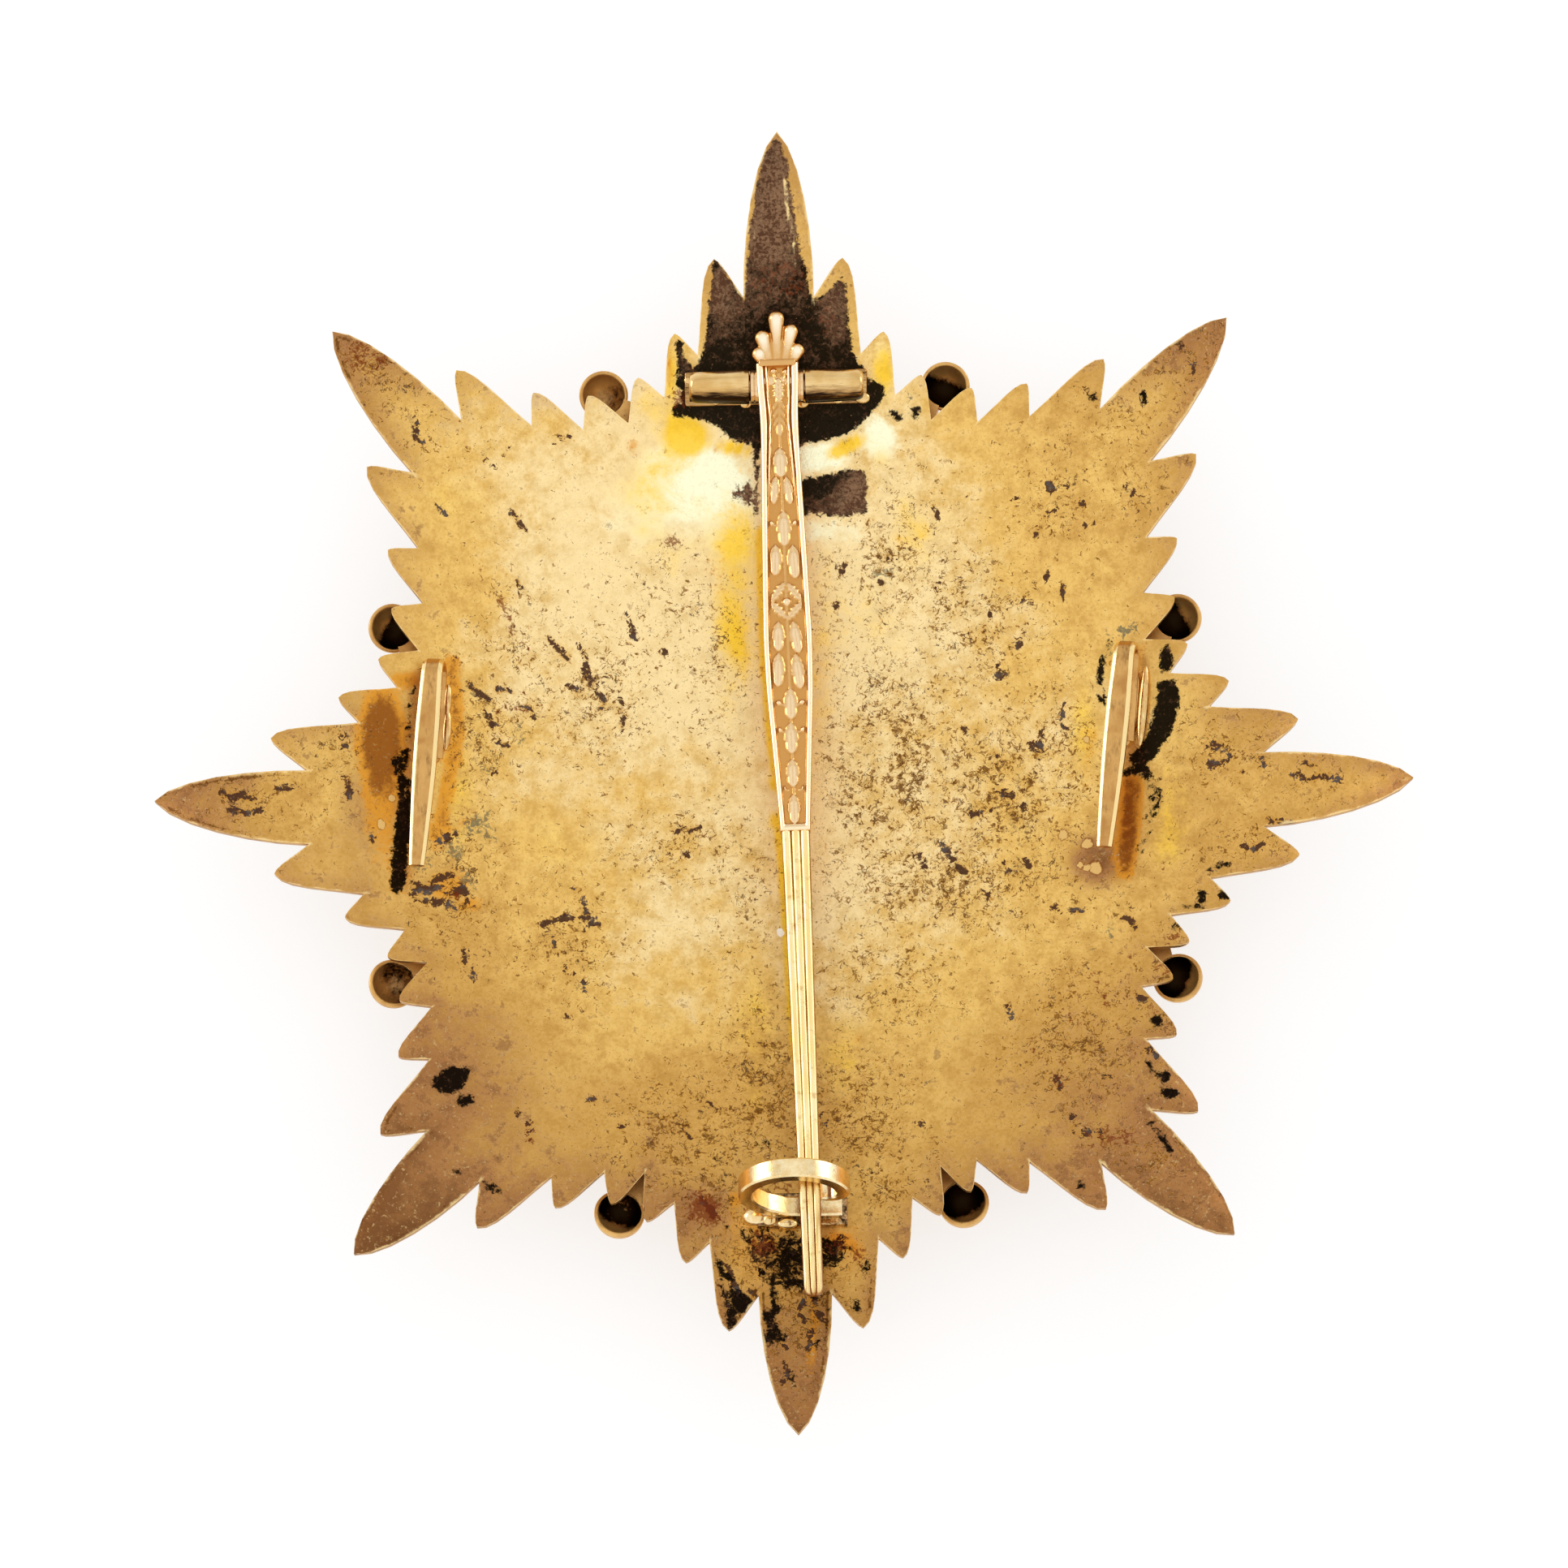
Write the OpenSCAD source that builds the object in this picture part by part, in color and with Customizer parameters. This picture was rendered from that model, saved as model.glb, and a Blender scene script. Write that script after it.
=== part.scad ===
// Order badge: the breast star of an order, lying on its face with the pin side up.
// The origin is under the middle of the star, on the surface that it rests on.
// +X points to the right-hand ray, +Y to the ray above the hinge, +Z out of the hollow back.

/* [Star plate] */
// Width across the tips of the left and right rays
star_w = 84.2; // [76:0.1:92]
// Height across the tips of the upper and lower rays
star_h = 89.2; // [80:0.1:98]
// Radius of the hollow back, which is part of a sphere
bowl_r = 98; // [90:1:120]
// Height of the lowest point of the hollow back above the resting plane
back_z = 5.2; // [4.8:0.1:7]
// Thickness of the plate in the valleys and at the edges of the rays
edge_t = 0.7; // [0.5:0.05:0.9]
// Thickness of the plate along the ridges of the rays
ridge_t = 1.4; // [1:0.05:1.6]
// Depth of the dish in the back of each long ray
ray_dish = 0.25; // [0:0.05:0.4]

/* [Cross and boss on the front] */
// Thickness of the cross
cross_t = 1.4; // [1.1:0.1:1.6]
// Distance from the middle to the ball tips, before the star's height is stretched
tip_reach = 29.15; // [28:0.05:30]
// Angle from the middle line of a cross arm to its ball tips
tip_angle = 23.6; // [22:0.1:25]
// Radius of a hollow ball tip
ball_r = 1.68; // [1.5:0.01:1.8]
// Radius of the centre boss
boss_r = 12; // [10:0.1:13]

/* [Hinge and pin] */
// Distance of the hinge axis above the middle of the star
hinge_y = 27.7; // [26:0.1:29]
// Height of the hinge axis above the plate
hinge_rise = 2.4; // [2.2:0.1:2.8]
// Outer radius of the two hinge tubes
tube_r = 1.2; // [1.1:0.01:1.25]
// Radius of the bore through the tubes and the barrel
bore_r = 0.5; // [0.4:0.01:0.6]
// Distance from the hinge axis to the end of the ornamented bar
bar_len = 31.9; // [30:0.1:34]
// Distance from the hinge axis to the tip of the needle
pin_len = 63.3; // [60:0.1:64]
// Angle by which the pin leans to the right, seen from above
pin_lean = 1.15; // [0:0.05:1.5]
// Angle by which the pin rises from the hinge to the catch
pin_rise = 2.5; // [2.2:0.05:2.7]

/* [Catch and hooks] */
// Outer radius of the catch ring
ring_r = 3.7; // [3.6:0.05:3.9]
// Width of the strip that the catch is bent from
ring_w = 1.35; // [1:0.05:1.6]
// Distance of the catch below the middle of the star
catch_y = 29; // [28:0.1:30]
// Angle by which the catch leans away from the hinge, out of square with the plate
ring_lean = 4; // [0:0.5:6]
// Length of the prong of each hook
prong_len = 13.3; // [12:0.1:16]
// Thickness of the strip that the hooks are bent from
hook_t = 0.65; // [0.5:0.05:0.8]

/* [Hidden] */

$fn = 64;
gilt = [0.80, 0.64, 0.36];
pale_gilt = [0.86, 0.72, 0.46];
bright_gilt = [0.90, 0.76, 0.44];
brown_gilt = [0.62, 0.47, 0.27];

grow = star_w / 84.2;
stretch = star_h / star_w;
bowl_z = back_z + bowl_r;
seam = 0.08;
layer_gap = 0.1;

// Height of the hollow back over the resting plane, at a place given from above.
function back_at(x, y) = bowl_z - sqrt(bowl_r * bowl_r - x * x - y * y);

// A point at an angle and a distance from the middle, stretched to the star's height.
function ray_point(angle, r) = [r * cos(angle), r * sin(angle) * stretch];

// Star plate

// Each arm has its own slight turn in degrees, its reach as a share of the half width, and a
// shift of its short rays outwards in mm.
// Columns: turn, reach, shift
ARMS = [[-1.7, 1.000, -0.1],
        [-1.5, 1.005, 0.15],
        [-0.45, 1.000, -0.2],
        [0.8, 0.999, 0.1],
        [1.75, 1.000, -0.3],
        [1.6, 0.993, 0.4],
        [0.25, 1.000, 0.4],
        [-1.1, 0.993, 0]];

// Tips and notches of half an arm, from the long ray outwards.
// Columns: offset from the arm's middle line, distance along it
TIPS = [[0, 42.1], [4.42, 34.8], [7.2, 30.25], [9.75, 27.5]];
NOTCHES = [[2.42, 32.5], [5.62, 28.95], [7.95, 26.3]];
gap_r = 26.6;

// Bends of a ray's edge, as shares of the straight line from its notch to its tip.
// Columns: share along, share outwards, share along, share outwards
LONG_EDGE = [0.36, 0.09, 0.85, 0.12];
OUTER_EDGE = [0.45, 0.03, 0.88, 0.14];
INNER_EDGE = [0.35, 0.00, 0.85, 0.10];

arm_count = len(ARMS);
rays_per_arm = 7;
ray_count = arm_count * rays_per_arm;
hub_r = 10;
in_steps = 4;
out_steps = 6;
all_steps = in_steps + out_steps;

function arm_of(i) = floor(i / rays_per_arm) % arm_count;
function place_of(i) = i % rays_per_arm - 3;
function arm_turn(a) = 45 * a + ARMS[a % arm_count][0];

// A point of arm a from its offset and its distance along the arm.
function on_arm(a, off, along) =
    let (far = along + (off == 0 ? 0 : ARMS[a][2]))
    ray_point(arm_turn(a) + atan2(off, far), norm([off, far]) * grow * ARMS[a][1]);

function tip(i) =
    let (p = place_of(i), row = TIPS[abs(p)])
    on_arm(arm_of(i), sign(p) * row[0], row[1]);

// Notch on the clockwise side of ray i. The one between two arms is halfway between their turns.
function notch(i) =
    let (p = place_of(i), a = arm_of(i), before = (a + arm_count - 1) % arm_count)
    p == -3
    ? ray_point(45 * (a - 0.5) + (ARMS[a][0] + ARMS[before][0]) / 2, gap_r * grow)
    : let (left = p > 0, row = NOTCHES[left ? p - 1 : -p])
      on_arm(a, (left ? 1 : -1) * row[0], row[1]);

// A point of a ray's curved edge, from its notch at t = 0 to its tip at t = 1.
function edge_point(i, side, t) =
    let (from = notch((i + side) % ray_count), to = tip(i), p = place_of(i))
    let (bend = p == 0 ? LONG_EDGE : (p > 0) == (side == 1) ? OUTER_EDGE : INNER_EDGE)
    let (run = to - from, out = (side == 1 ? 1 : -1) * [-run[1], run[0]])
    let (b = from + bend[0] * run + bend[1] * out, c = from + bend[2] * run + bend[3] * out)
    pow(1 - t, 3) * from + 3 * t * pow(1 - t, 2) * b + 3 * t * t * (1 - t) * c + pow(t, 3) * to;

function hub_end(p) = ray_point(atan2(p[1] / stretch, p[0]), hub_r);

// A ray's ridge runs from the hub to its tip, and passes its notches at step in_steps.
function ridge_point(i, k) =
    let (to = tip(i), from = hub_end(to), run = norm(to - from))
    let (near = (norm(notch(i)) + norm(notch((i + 1) % ray_count))) / 2)
    let (bend = (near - norm(from)) / run)
    let (t = k <= in_steps ? bend * k / in_steps : bend + (1 - bend) * (k - in_steps) / out_steps)
    from + t * (to - from);

function valley_point(i, k) =
    let (to = notch(i), from = hub_end(to))
    from + k / in_steps * (to - from);

// The long ray's back is dished most, and the short ones less.
function dish_at(i, k) =
    let (share = [1, 0.5, 0.3, 0.2][abs(place_of(i))])
    ray_dish * share * sin(180 * max(0, k - in_steps + 1) / (out_steps + 1));

function valley_t(k) = k == 0 ? ridge_t : k == 1 ? (ridge_t + edge_t) / 2 : edge_t;
function ridge_line_t(k) = k == all_steps ? edge_t : ridge_t - 0.3 * max(0, k - in_steps) / out_steps;

function raised(p, drop) = [p[0], p[1], back_at(p[0], p[1]) - drop];

// Index of a point in one of the two skins of the plate.
valley_points = ray_count * (in_steps + 1);
ridge_points = ray_count * (all_steps + 1);
edge_points = ray_count * 2 * (out_steps - 1);
skin = valley_points + ridge_points + edge_points + 1;
function valley_id(i, k) = (i % ray_count) * (in_steps + 1) + k;
function ridge_id(i, k) = valley_points + i * (all_steps + 1) + k;
function edge_id(i, side, k) = valley_points + ridge_points + (2 * i + side) * (out_steps - 1) + k - 1;
function rim_id(i, side, k) =
    k <= in_steps ? valley_id(i + side, k) : k < all_steps ? edge_id(i, side, k - in_steps)
    : ridge_id(i, all_steps);

// One skin: the back has no drop in the valleys, and the front lies below it by its thickness.
function skin_points(front) = concat(
    [for (i = [0 : ray_count - 1], k = [0 : in_steps])
        raised(valley_point(i, k), front ? valley_t(k) : 0)],
    [for (i = [0 : ray_count - 1], k = [0 : all_steps])
        raised(ridge_point(i, k), front ? ridge_line_t(k) : dish_at(i, k))],
    [for (i = [0 : ray_count - 1], side = [0, 1], k = [1 : out_steps - 1])
        raised(edge_point(i, side, k / out_steps), front ? edge_t : 0)],
    [[0, 0, back_z - (front ? ridge_t : 0)]]);

function flip(f, yes) = yes ? [f[0], f[2], f[1]] : f;
function moved(f, n) = [f[0] + n, f[1] + n, f[2] + n];

// Faces of one half of a ray, seen on the back.
function half_ray(i, side) = concat(
    [[skin - 1, ridge_id(i, 0), rim_id(i, side, 0)]],
    [for (k = [0 : all_steps - 2]) [ridge_id(i, k), ridge_id(i, k + 1), rim_id(i, side, k + 1)]],
    [for (k = [0 : all_steps - 1]) [ridge_id(i, k), rim_id(i, side, k + 1), rim_id(i, side, k)]]);

function half_wall(i, side) = [for (k = [in_steps : all_steps - 1], upper = [0, 1])
    let (a = rim_id(i, side, k), b = rim_id(i, side, k + 1))
    upper == 1 ? [a, b, b + skin] : [a, b + skin, a + skin]];

module star_plate() {
    back = [for (i = [0 : ray_count - 1], side = [0, 1], f = half_ray(i, side)) flip(f, side == 1)];
    front = [for (f = back) flip(moved(f, skin), true)];
    walls = [for (i = [0 : ray_count - 1], side = [0, 1], f = half_wall(i, side)) flip(f, side == 1)];
    color(gilt)
    polyhedron(concat(skin_points(false), skin_points(true)), concat(back, front, walls));
}

// Places on the hollow back

// Moves its children to the hollow back at a distance above or below the middle, so that their
// own +Z points straight out of the plate there.
module on_back_y(y, rise = 0) {
    translate([0, 0, bowl_z]) rotate([asin(y / (bowl_r - rise)), 0, 0]) translate([0, 0, -bowl_r])
    children();
}

// Keeps what lies inside the hollow back, so that a foot fits the curve of the plate.
module seated() {
    intersection() {
        children();
        translate([0, 0, bowl_z]) rotate([90, 0, 0]) sphere(bowl_r - seam, $fn = 360);
    }
}

// Cross

cross_in = bowl_r + ridge_t + layer_gap;
cross_out = cross_in + cross_t;
cross_valley = 23.5;
cross_root = 4.6;
cross_top = 16;
ball_depth = 2.1;
ball_wall = 0.5;

// The sunk field of an arm is its outline drawn smaller about a point on its middle line.
field_share = 0.86;
field_middle = 17;
field_root = 9;
field_spread = 30;
field_depth = 0.35;

// Each ball sits a little off its ideal place. Two rows for each arm of the cross.
// Columns: angle of the arm, side of its middle line, shift to the right, shift up
BALLS = [[0, -1, -0.35, -0.9], [0, 1, 0.45, -0.55],
         [90, -1, 0, 0.3], [90, 1, -0.3, 0.1],
         [180, -1, 0.1, -0.2], [180, 1, 0.1, -0.3],
         [270, -1, 0.15, -0.4], [270, 1, -0.15, -0.1]];

function ball_place(row) =
    ray_point(row[0] + row[1] * tip_angle, tip_reach) + [row[2], row[3]];

function arm_outline(arm, root_r, spread) =
    let (a = 90 * arm)
    [ray_point(a - spread, root_r), ball_place(BALLS[2 * arm]), ray_point(a, cross_valley),
     ball_place(BALLS[2 * arm + 1]), ray_point(a + spread, root_r)];

function field_outline(arm) =
    let (mid = ray_point(90 * arm, field_middle))
    [for (p = arm_outline(arm, field_root, field_spread)) mid + field_share * (p - mid)];

module bowl_shell(inner, outer) {
    translate([0, 0, bowl_z]) rotate([90, 0, 0])
    difference() {
        sphere(outer, $fn = 240);
        sphere(inner, $fn = 240);
    }
}

module at_ball(row) {
    p = ball_place(row);
    tilt = asin(norm(p) / (bowl_r + ball_depth));
    translate([0, 0, bowl_z]) rotate([0, -tilt, atan2(p[1], p[0])])
    translate([0, 0, -bowl_r - ball_depth])
    children();
}

module half_ball() {
    intersection() {
        sphere(ball_r, $fn = 48);
        translate([-ball_r, -ball_r, -2 * ball_r]) cube(2 * ball_r);
    }
}

module cross() {
    color(brown_gilt)
    difference() {
        union() {
            intersection() {
                bowl_shell(cross_in, cross_out);
                union() for (arm = [0 : 3])
                    linear_extrude(cross_top)
                    polygon(concat(arm_outline(arm, cross_root, 45), [[0, 0]]));
            }
            for (row = BALLS) at_ball(row) half_ball();
        }
        intersection() {
            bowl_shell(cross_out - field_depth, cross_out + 1);
            union() for (arm = [0 : 3]) linear_extrude(cross_top) polygon(field_outline(arm));
        }
        for (row = BALLS) at_ball(row) sphere(ball_r - ball_wall, $fn = 48);
    }
}

// Centre boss

boss_h = 4.5;
boss_edge = 0.5;
boss_bevel = 0.4;
boss_field_r = boss_r - 1.8;
boss_field = 0.9;
boss_dome_r = boss_field_r - 0.8;
boss_dome = 0.45;

module centre_boss() {
    dome_sphere = (boss_dome_r * boss_dome_r + boss_dome * boss_dome) / (2 * boss_dome);
    color(gilt)
    difference() {
        union() {
            difference() {
                union() {
                    cylinder(r1 = boss_r - boss_bevel, r2 = boss_r, h = boss_edge, $fn = 96);
                    translate([0, 0, boss_edge]) cylinder(r = boss_r, h = boss_h - boss_edge, $fn = 96);
                }
                translate([0, 0, -1]) cylinder(r = boss_field_r, h = 1 + boss_field, $fn = 96);
            }
            intersection() {
                translate([0, 0, dome_sphere + boss_field - boss_dome]) sphere(dome_sphere, $fn = 96);
                cylinder(r = boss_dome_r, h = 2 * boss_field, $fn = 96);
            }
        }
        translate([0, 0, bowl_z]) rotate([90, 0, 0]) sphere(cross_out + layer_gap, $fn = 360);
    }
}

// Hinge

hinge_z = bowl_z - (bowl_r - hinge_rise) * cos(asin(hinge_y / (bowl_r - hinge_rise)));
hinge_x = 0.08;

// Ends of the left tube and the right one. Columns: inner end, outer end
TUBES = [[-1.88, -5.98], [1.94, 5.95]];
tube_taper = 0.15;
rim_taper = 0.33;
rim_len = 0.45;
web_w = 1.2;
web_inset = 0.3;
tray = [12.9, 2.6, 0.6];
tray_x = 0.1;
axle_slack = 0.04;
axle_inset = 0.2;
bore_cut = 20;

module along_x(x) {
    translate([x, hinge_y, hinge_z]) rotate([0, 90, 0]) children();
}

// A tube from its inner end to its outer one, slightly tapered, with a rounded-off outer rim.
module hinge_tube(ends) {
    body = abs(ends[1] - ends[0]) - rim_len;
    end_r = tube_r - tube_taper;
    translate([ends[0], hinge_y, hinge_z]) rotate([0, ends[1] > 0 ? 90 : -90, 0]) {
        cylinder(r1 = tube_r, r2 = end_r, h = body, $fn = 48);
        translate([0, 0, body]) cylinder(r1 = end_r, r2 = tube_r - rim_taper, h = rim_len, $fn = 48);
    }
}

// The web that joins a tube to the tray under it.
module hinge_web(ends) {
    from = min(ends[0], ends[1] + web_inset);
    on_back_y(hinge_y, hinge_rise)
    translate([from, -web_w / 2, tray[2] / 2])
    cube([abs(ends[1] - ends[0]) - web_inset, web_w, hinge_rise - bore_r - tray[2]]);
}

module hinge_mount() {
    color(bright_gilt)
    difference() {
        union() {
            seated() on_back_y(hinge_y, hinge_rise)
            translate([tray_x - tray[0] / 2, -tray[1] / 2, -tray[2]])
            cube([tray[0], tray[1], 2 * tray[2]]);
            for (ends = TUBES) {
                hinge_tube(ends);
                hinge_web(ends);
            }
        }
        along_x(-bore_cut / 2) cylinder(r = bore_r, h = bore_cut, $fn = 32);
    }
}

module hinge_axle() {
    from = TUBES[0][1] + axle_inset;
    color(pale_gilt)
    along_x(from) cylinder(r = bore_r - axle_slack, h = TUBES[1][1] - axle_inset - from, $fn = 32);
}

// Pin

// Outline of the bar. Columns: distance from the hinge towards the needle, half width
BAR = [[-1.2, 1.42], [0.2, 1.42], [2.7, 1.28], [5, 1.3], [12, 1.5], [18.5, 1.65],
       [22, 1.58], [27, 1.28], [31.9, 1.0]];
bar_z = 0.45;
bar_t = 0.65;
bar_rim = 0.25;
rim_w = 0.3;
needle_z = 0.9;

// Lobes of the palmette above the hinge, measured from the end of the bar.
// Columns: sideways place of the tip, its distance, its radius, sideways place of the root
LOBES = [[0.08, 3.92, 0.52, 0], [-1.03, 2.65, 0.45, -0.3], [1.2, 3.0, 0.4, 0.3],
         [-1.25, 1.38, 0.38, -0.85], [1.89, 1.54, 0.36, 0.85]];
lobe_root = 0.3;
palmette_lift = 14;
palmette_t = 0.7;
palmette_bar = [2.5, 0.7, 0.85];
barrel_slack = 0.06;

// Relief along the panel. Columns: distance from the hinge, sideways place, length, width, angle
LEAVES = [[1.2, 0, 1.6, 0.5, 0], [2.7, -0.2, 1.2, 0.4, 20], [2.7, 0.2, 1.2, 0.4, -20],
          [6.2, 0, 1.9, 1.1, 0],
          [8.4, -0.45, 1.6, 0.6, 8], [8.4, 0.45, 1.6, 0.6, -8],
          [11.0, 0, 1.6, 0.8, 0],
          [13.3, -0.5, 1.8, 0.7, 8], [13.3, 0.5, 1.8, 0.7, -8],
          [15.9, -0.55, 1.2, 0.6, 60], [15.9, 0.55, 1.2, 0.6, -60],
          [16.6, -0.5, 1.2, 0.6, -50], [16.6, 0.5, 1.2, 0.6, 50],
          [18.7, -0.5, 1.8, 0.7, 8], [18.7, 0.5, 1.8, 0.7, -8],
          [21.2, -0.5, 1.8, 0.7, 8], [21.2, 0.5, 1.8, 0.7, -8],
          [23.4, 0, 1.7, 0.8, 0], [25.7, 0, 1.7, 0.8, 0], [27.9, 0, 1.6, 0.7, 0],
          [29.9, 0, 1.5, 0.6, 0]];
leaf_t = 0.22;
leaf_sink = 0.1;

// The pin's own frame: -Y runs from the hinge to the needle's tip, +Z out of the star's back.
module in_pin() {
    translate([hinge_x, hinge_y, hinge_z]) rotate([0, 0, pin_lean]) rotate([-pin_rise, 0, 0])
    children();
}

function bar_outline(inset) = concat(
    [for (row = BAR) [row[1] - inset, -min(max(row[0], BAR[0][0] + inset), bar_len - inset)]],
    [for (i = [len(BAR) - 1 : -1 : 0])
        [inset - BAR[i][1], -min(max(BAR[i][0], BAR[0][0] + inset), bar_len - inset)]]);

// A leaf with two pointed ends: the lens where two circles cross.
module leaf(length, width) {
    r = (length * length + width * width) / (4 * width);
    linear_extrude(leaf_t + leaf_sink)
    intersection() {
        translate([r - width / 2, 0]) circle(r);
        translate([width / 2 - r, 0]) circle(r);
    }
}

module lobe(row) {
    run = [row[0] - row[3], row[1]];
    far = norm(run) - row[2];
    translate([row[3], 0]) rotate([0, 0, -atan2(run[0], run[1])])
    linear_extrude(palmette_t) {
        translate([0, far]) circle(row[2]);
        polygon([[-lobe_root, 0], [lobe_root, 0], [row[2], far], [-row[2], far]]);
    }
}

module palmette() {
    overlap = 0.1;
    translate([0, -BAR[0][0] - overlap, bar_z]) rotate([palmette_lift, 0, 0]) {
        for (row = LOBES) lobe(row);
        translate([-palmette_bar[0] / 2, -2 * overlap, 0]) cube(palmette_bar);
    }
}

module barrel() {
    along_x(TUBES[0][0] + seam)
    cylinder(r = tube_r - barrel_slack, h = TUBES[1][0] - TUBES[0][0] - 2 * seam, $fn = 48);
}

module brooch_pin() {
    color(bright_gilt)
    difference() {
        union() {
            barrel();
            in_pin() {
                translate([0, 0, bar_z]) linear_extrude(bar_t) polygon(bar_outline(0));
                translate([0, 0, bar_z + bar_t]) linear_extrude(bar_rim)
                difference() {
                    polygon(bar_outline(0));
                    polygon(bar_outline(rim_w));
                }
                for (row = LEAVES) {
                    translate([row[1], -row[0], bar_z + bar_t - leaf_sink]) rotate([0, 0, row[4]])
                    leaf(row[2], row[3]);
                }
                palmette();
            }
        }
        along_x(-bore_cut / 2) cylinder(r = bore_r, h = bore_cut, $fn = 32);
    }
}

// Needle: three ridges side by side that taper towards the tip, on a flat back.
// Columns: half spacing of the ridges, radius of a ridge
NEEDLE = [[0.62, 0.36], [0.4, 0.25]];
needle_back = 0.45;
needle_inset = 0.05;
needle_tip_r = 0.6;

module needle() {
    len = pin_len - bar_len;
    root = NEEDLE[0];
    end = NEEDLE[1];
    root_w = root[0] + root[1] - needle_inset;
    end_w = end[0] + end[1] - needle_inset;
    color(bright_gilt)
    in_pin() translate([0, -bar_len, needle_z])
    intersection() {
        union() {
            for (s = [-1, 0, 1])
                translate([s * root[0], 0, 0]) rotate([90, 0, -s * atan((root[0] - end[0]) / len)])
                cylinder(r1 = root[1], r2 = end[1], h = len + 1, $fn = 32);
            translate([0, 0, -needle_back]) linear_extrude(needle_back)
            polygon([[-root_w, 0], [root_w, 0], [end_w, -len], [-end_w, -len]]);
        }
        translate([0, 0, -1]) linear_extrude(2) {
            translate([0, needle_tip_r - len]) circle(needle_tip_r);
            translate([-2, needle_tip_r - len]) square([4, len - needle_tip_r]);
        }
    }
}

// Catch

ring_wall = 0.95;
ring_x = 0.2;
pad = [6.0, 2.4, 0.35];
pad_from = -2.5;
foot_t = 0.5;
foot_w = 5.6;
foot_from = -2.4;
solder_r = 0.85;

// The free end of the ring turns inwards between two arcs that are not quite about one middle.
curl_at = [2.4, 0.45];
curl_r = 1.3;
curl_in_at = [1.9, 0.6];
curl_in_r = 0.86;
curl_end = 1.65;

// The strip seen from its edge: a ring that opens at the lower right above its straight foot.
module catch_profile() {
    difference() {
        circle(ring_r);
        circle(ring_r - ring_wall);
        translate([0, -ring_r - 1]) square([ring_r + 1, ring_r + 1 + curl_at[1]]);
    }
    intersection() {
        difference() {
            translate(curl_at) circle(curl_r);
            translate(curl_in_at) circle(curl_in_r);
        }
        translate([curl_end, curl_at[1] - 2 * curl_r]) square(2 * curl_r);
    }
    translate([foot_from, -ring_r]) square([foot_w, foot_t]);
    intersection() {
        circle(ring_r);
        translate([-ring_r, -ring_r]) square([ring_r, ring_wall]);
    }
}

module catch() {
    color(pale_gilt)
    seated() on_back_y(-catch_y) translate([ring_x, 0, 0]) {
        translate([0, 0, pad[2]]) rotate([ring_lean, 0, 0])
        translate([0, ring_w / 2, ring_r]) rotate([90, 0, 0])
        linear_extrude(ring_w) catch_profile();
        translate([pad_from, -pad[1] / 2, -1]) cube([pad[0], pad[1], 1 + pad[2] + seam]);
        translate([pad_from - 0.2, -pad[1] / 4, 0]) sphere(solder_r, $fn = 32);
    }
}

// Hooks

fold_r = 1.0;
leg_len = 5.4;
prong_end_z = 3.4;
prong_end_t = 0.5;
solder_t = 0.35;
hook_pitch = 3.5;

// Outline of a hook from above. Columns: share of the prong's length, half width
PRONG = [[-0.15, 0.68], [0, 0.7], [0.25, 0.79], [0.5, 0.78], [0.65, 0.72], [0.85, 0.61], [1.02, 0.49]];

function prong_outline() = concat(
    [for (row = PRONG) [row[1], -row[0] * prong_len]],
    [for (i = [len(PRONG) - 1 : -1 : 0]) [-PRONG[i][1], -PRONG[i][0] * prong_len]]);

// The strip seen from its edge: a leg on the plate, a round fold, and a prong back over it.
module hook_profile() {
    outer = fold_r + hook_t / 2;
    translate([-leg_len, -1]) square([leg_len, 1 + hook_t]);
    translate([0, outer])
    difference() {
        circle(outer);
        circle(outer - hook_t);
        translate([-2 * outer, -2 * outer]) square([2 * outer, 4 * outer]);
    }
    polygon([[0, 2 * outer - hook_t], [0, 2 * outer], [-prong_len, prong_end_z + prong_end_t],
             [-prong_len - 0.15, prong_end_z + prong_end_t / 2], [-prong_len, prong_end_z]]);
}

// The place of the fold seen from above, the hook's lean to one side, its turn, and half the
// width of the solder under its leg.
module hook(x, y, lean, turn, solder_w) {
    seated()
    translate([x, y, back_at(x, y)]) rotate([hook_pitch, -lean, turn]) {
        intersection() {
            rotate([90, 0, 90]) translate([0, 0, -2]) linear_extrude(4) hook_profile();
            translate([0, 0, -2]) linear_extrude(8) polygon(prong_outline());
        }
        translate([0, 0, -1]) linear_extrude(1 + solder_t) {
            translate([0, -solder_w / 2]) circle(solder_w);
            translate([0, -leg_len]) circle(solder_w);
            translate([-solder_w, -leg_len]) square([2 * solder_w, leg_len - solder_w / 2]);
        }
    }
}

module hook_left() {
    color(pale_gilt) hook(-23.55, 8.1, 5, -4.2, 1.1);
}

module hook_right() {
    color(pale_gilt) hook(23.75, 8.4, 13, -6.9, 1.45);
}

star_plate();
cross();
centre_boss();
hinge_mount();
hinge_axle();
brooch_pin();
needle();
catch();
hook_left();
hook_right();
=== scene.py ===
# %% [markdown]
# This lesson rebuilds the back of a breast star of an order: a hollow gilt plate with eight arms of
# pointed rays, a brooch pin with a cast bar, its hinge and catch, and two hooks.
# The frame below is the part as it was built and packed. Every length is in metres there, and
# this lesson thinks in millimetres, so MM turns one into the other.

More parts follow.
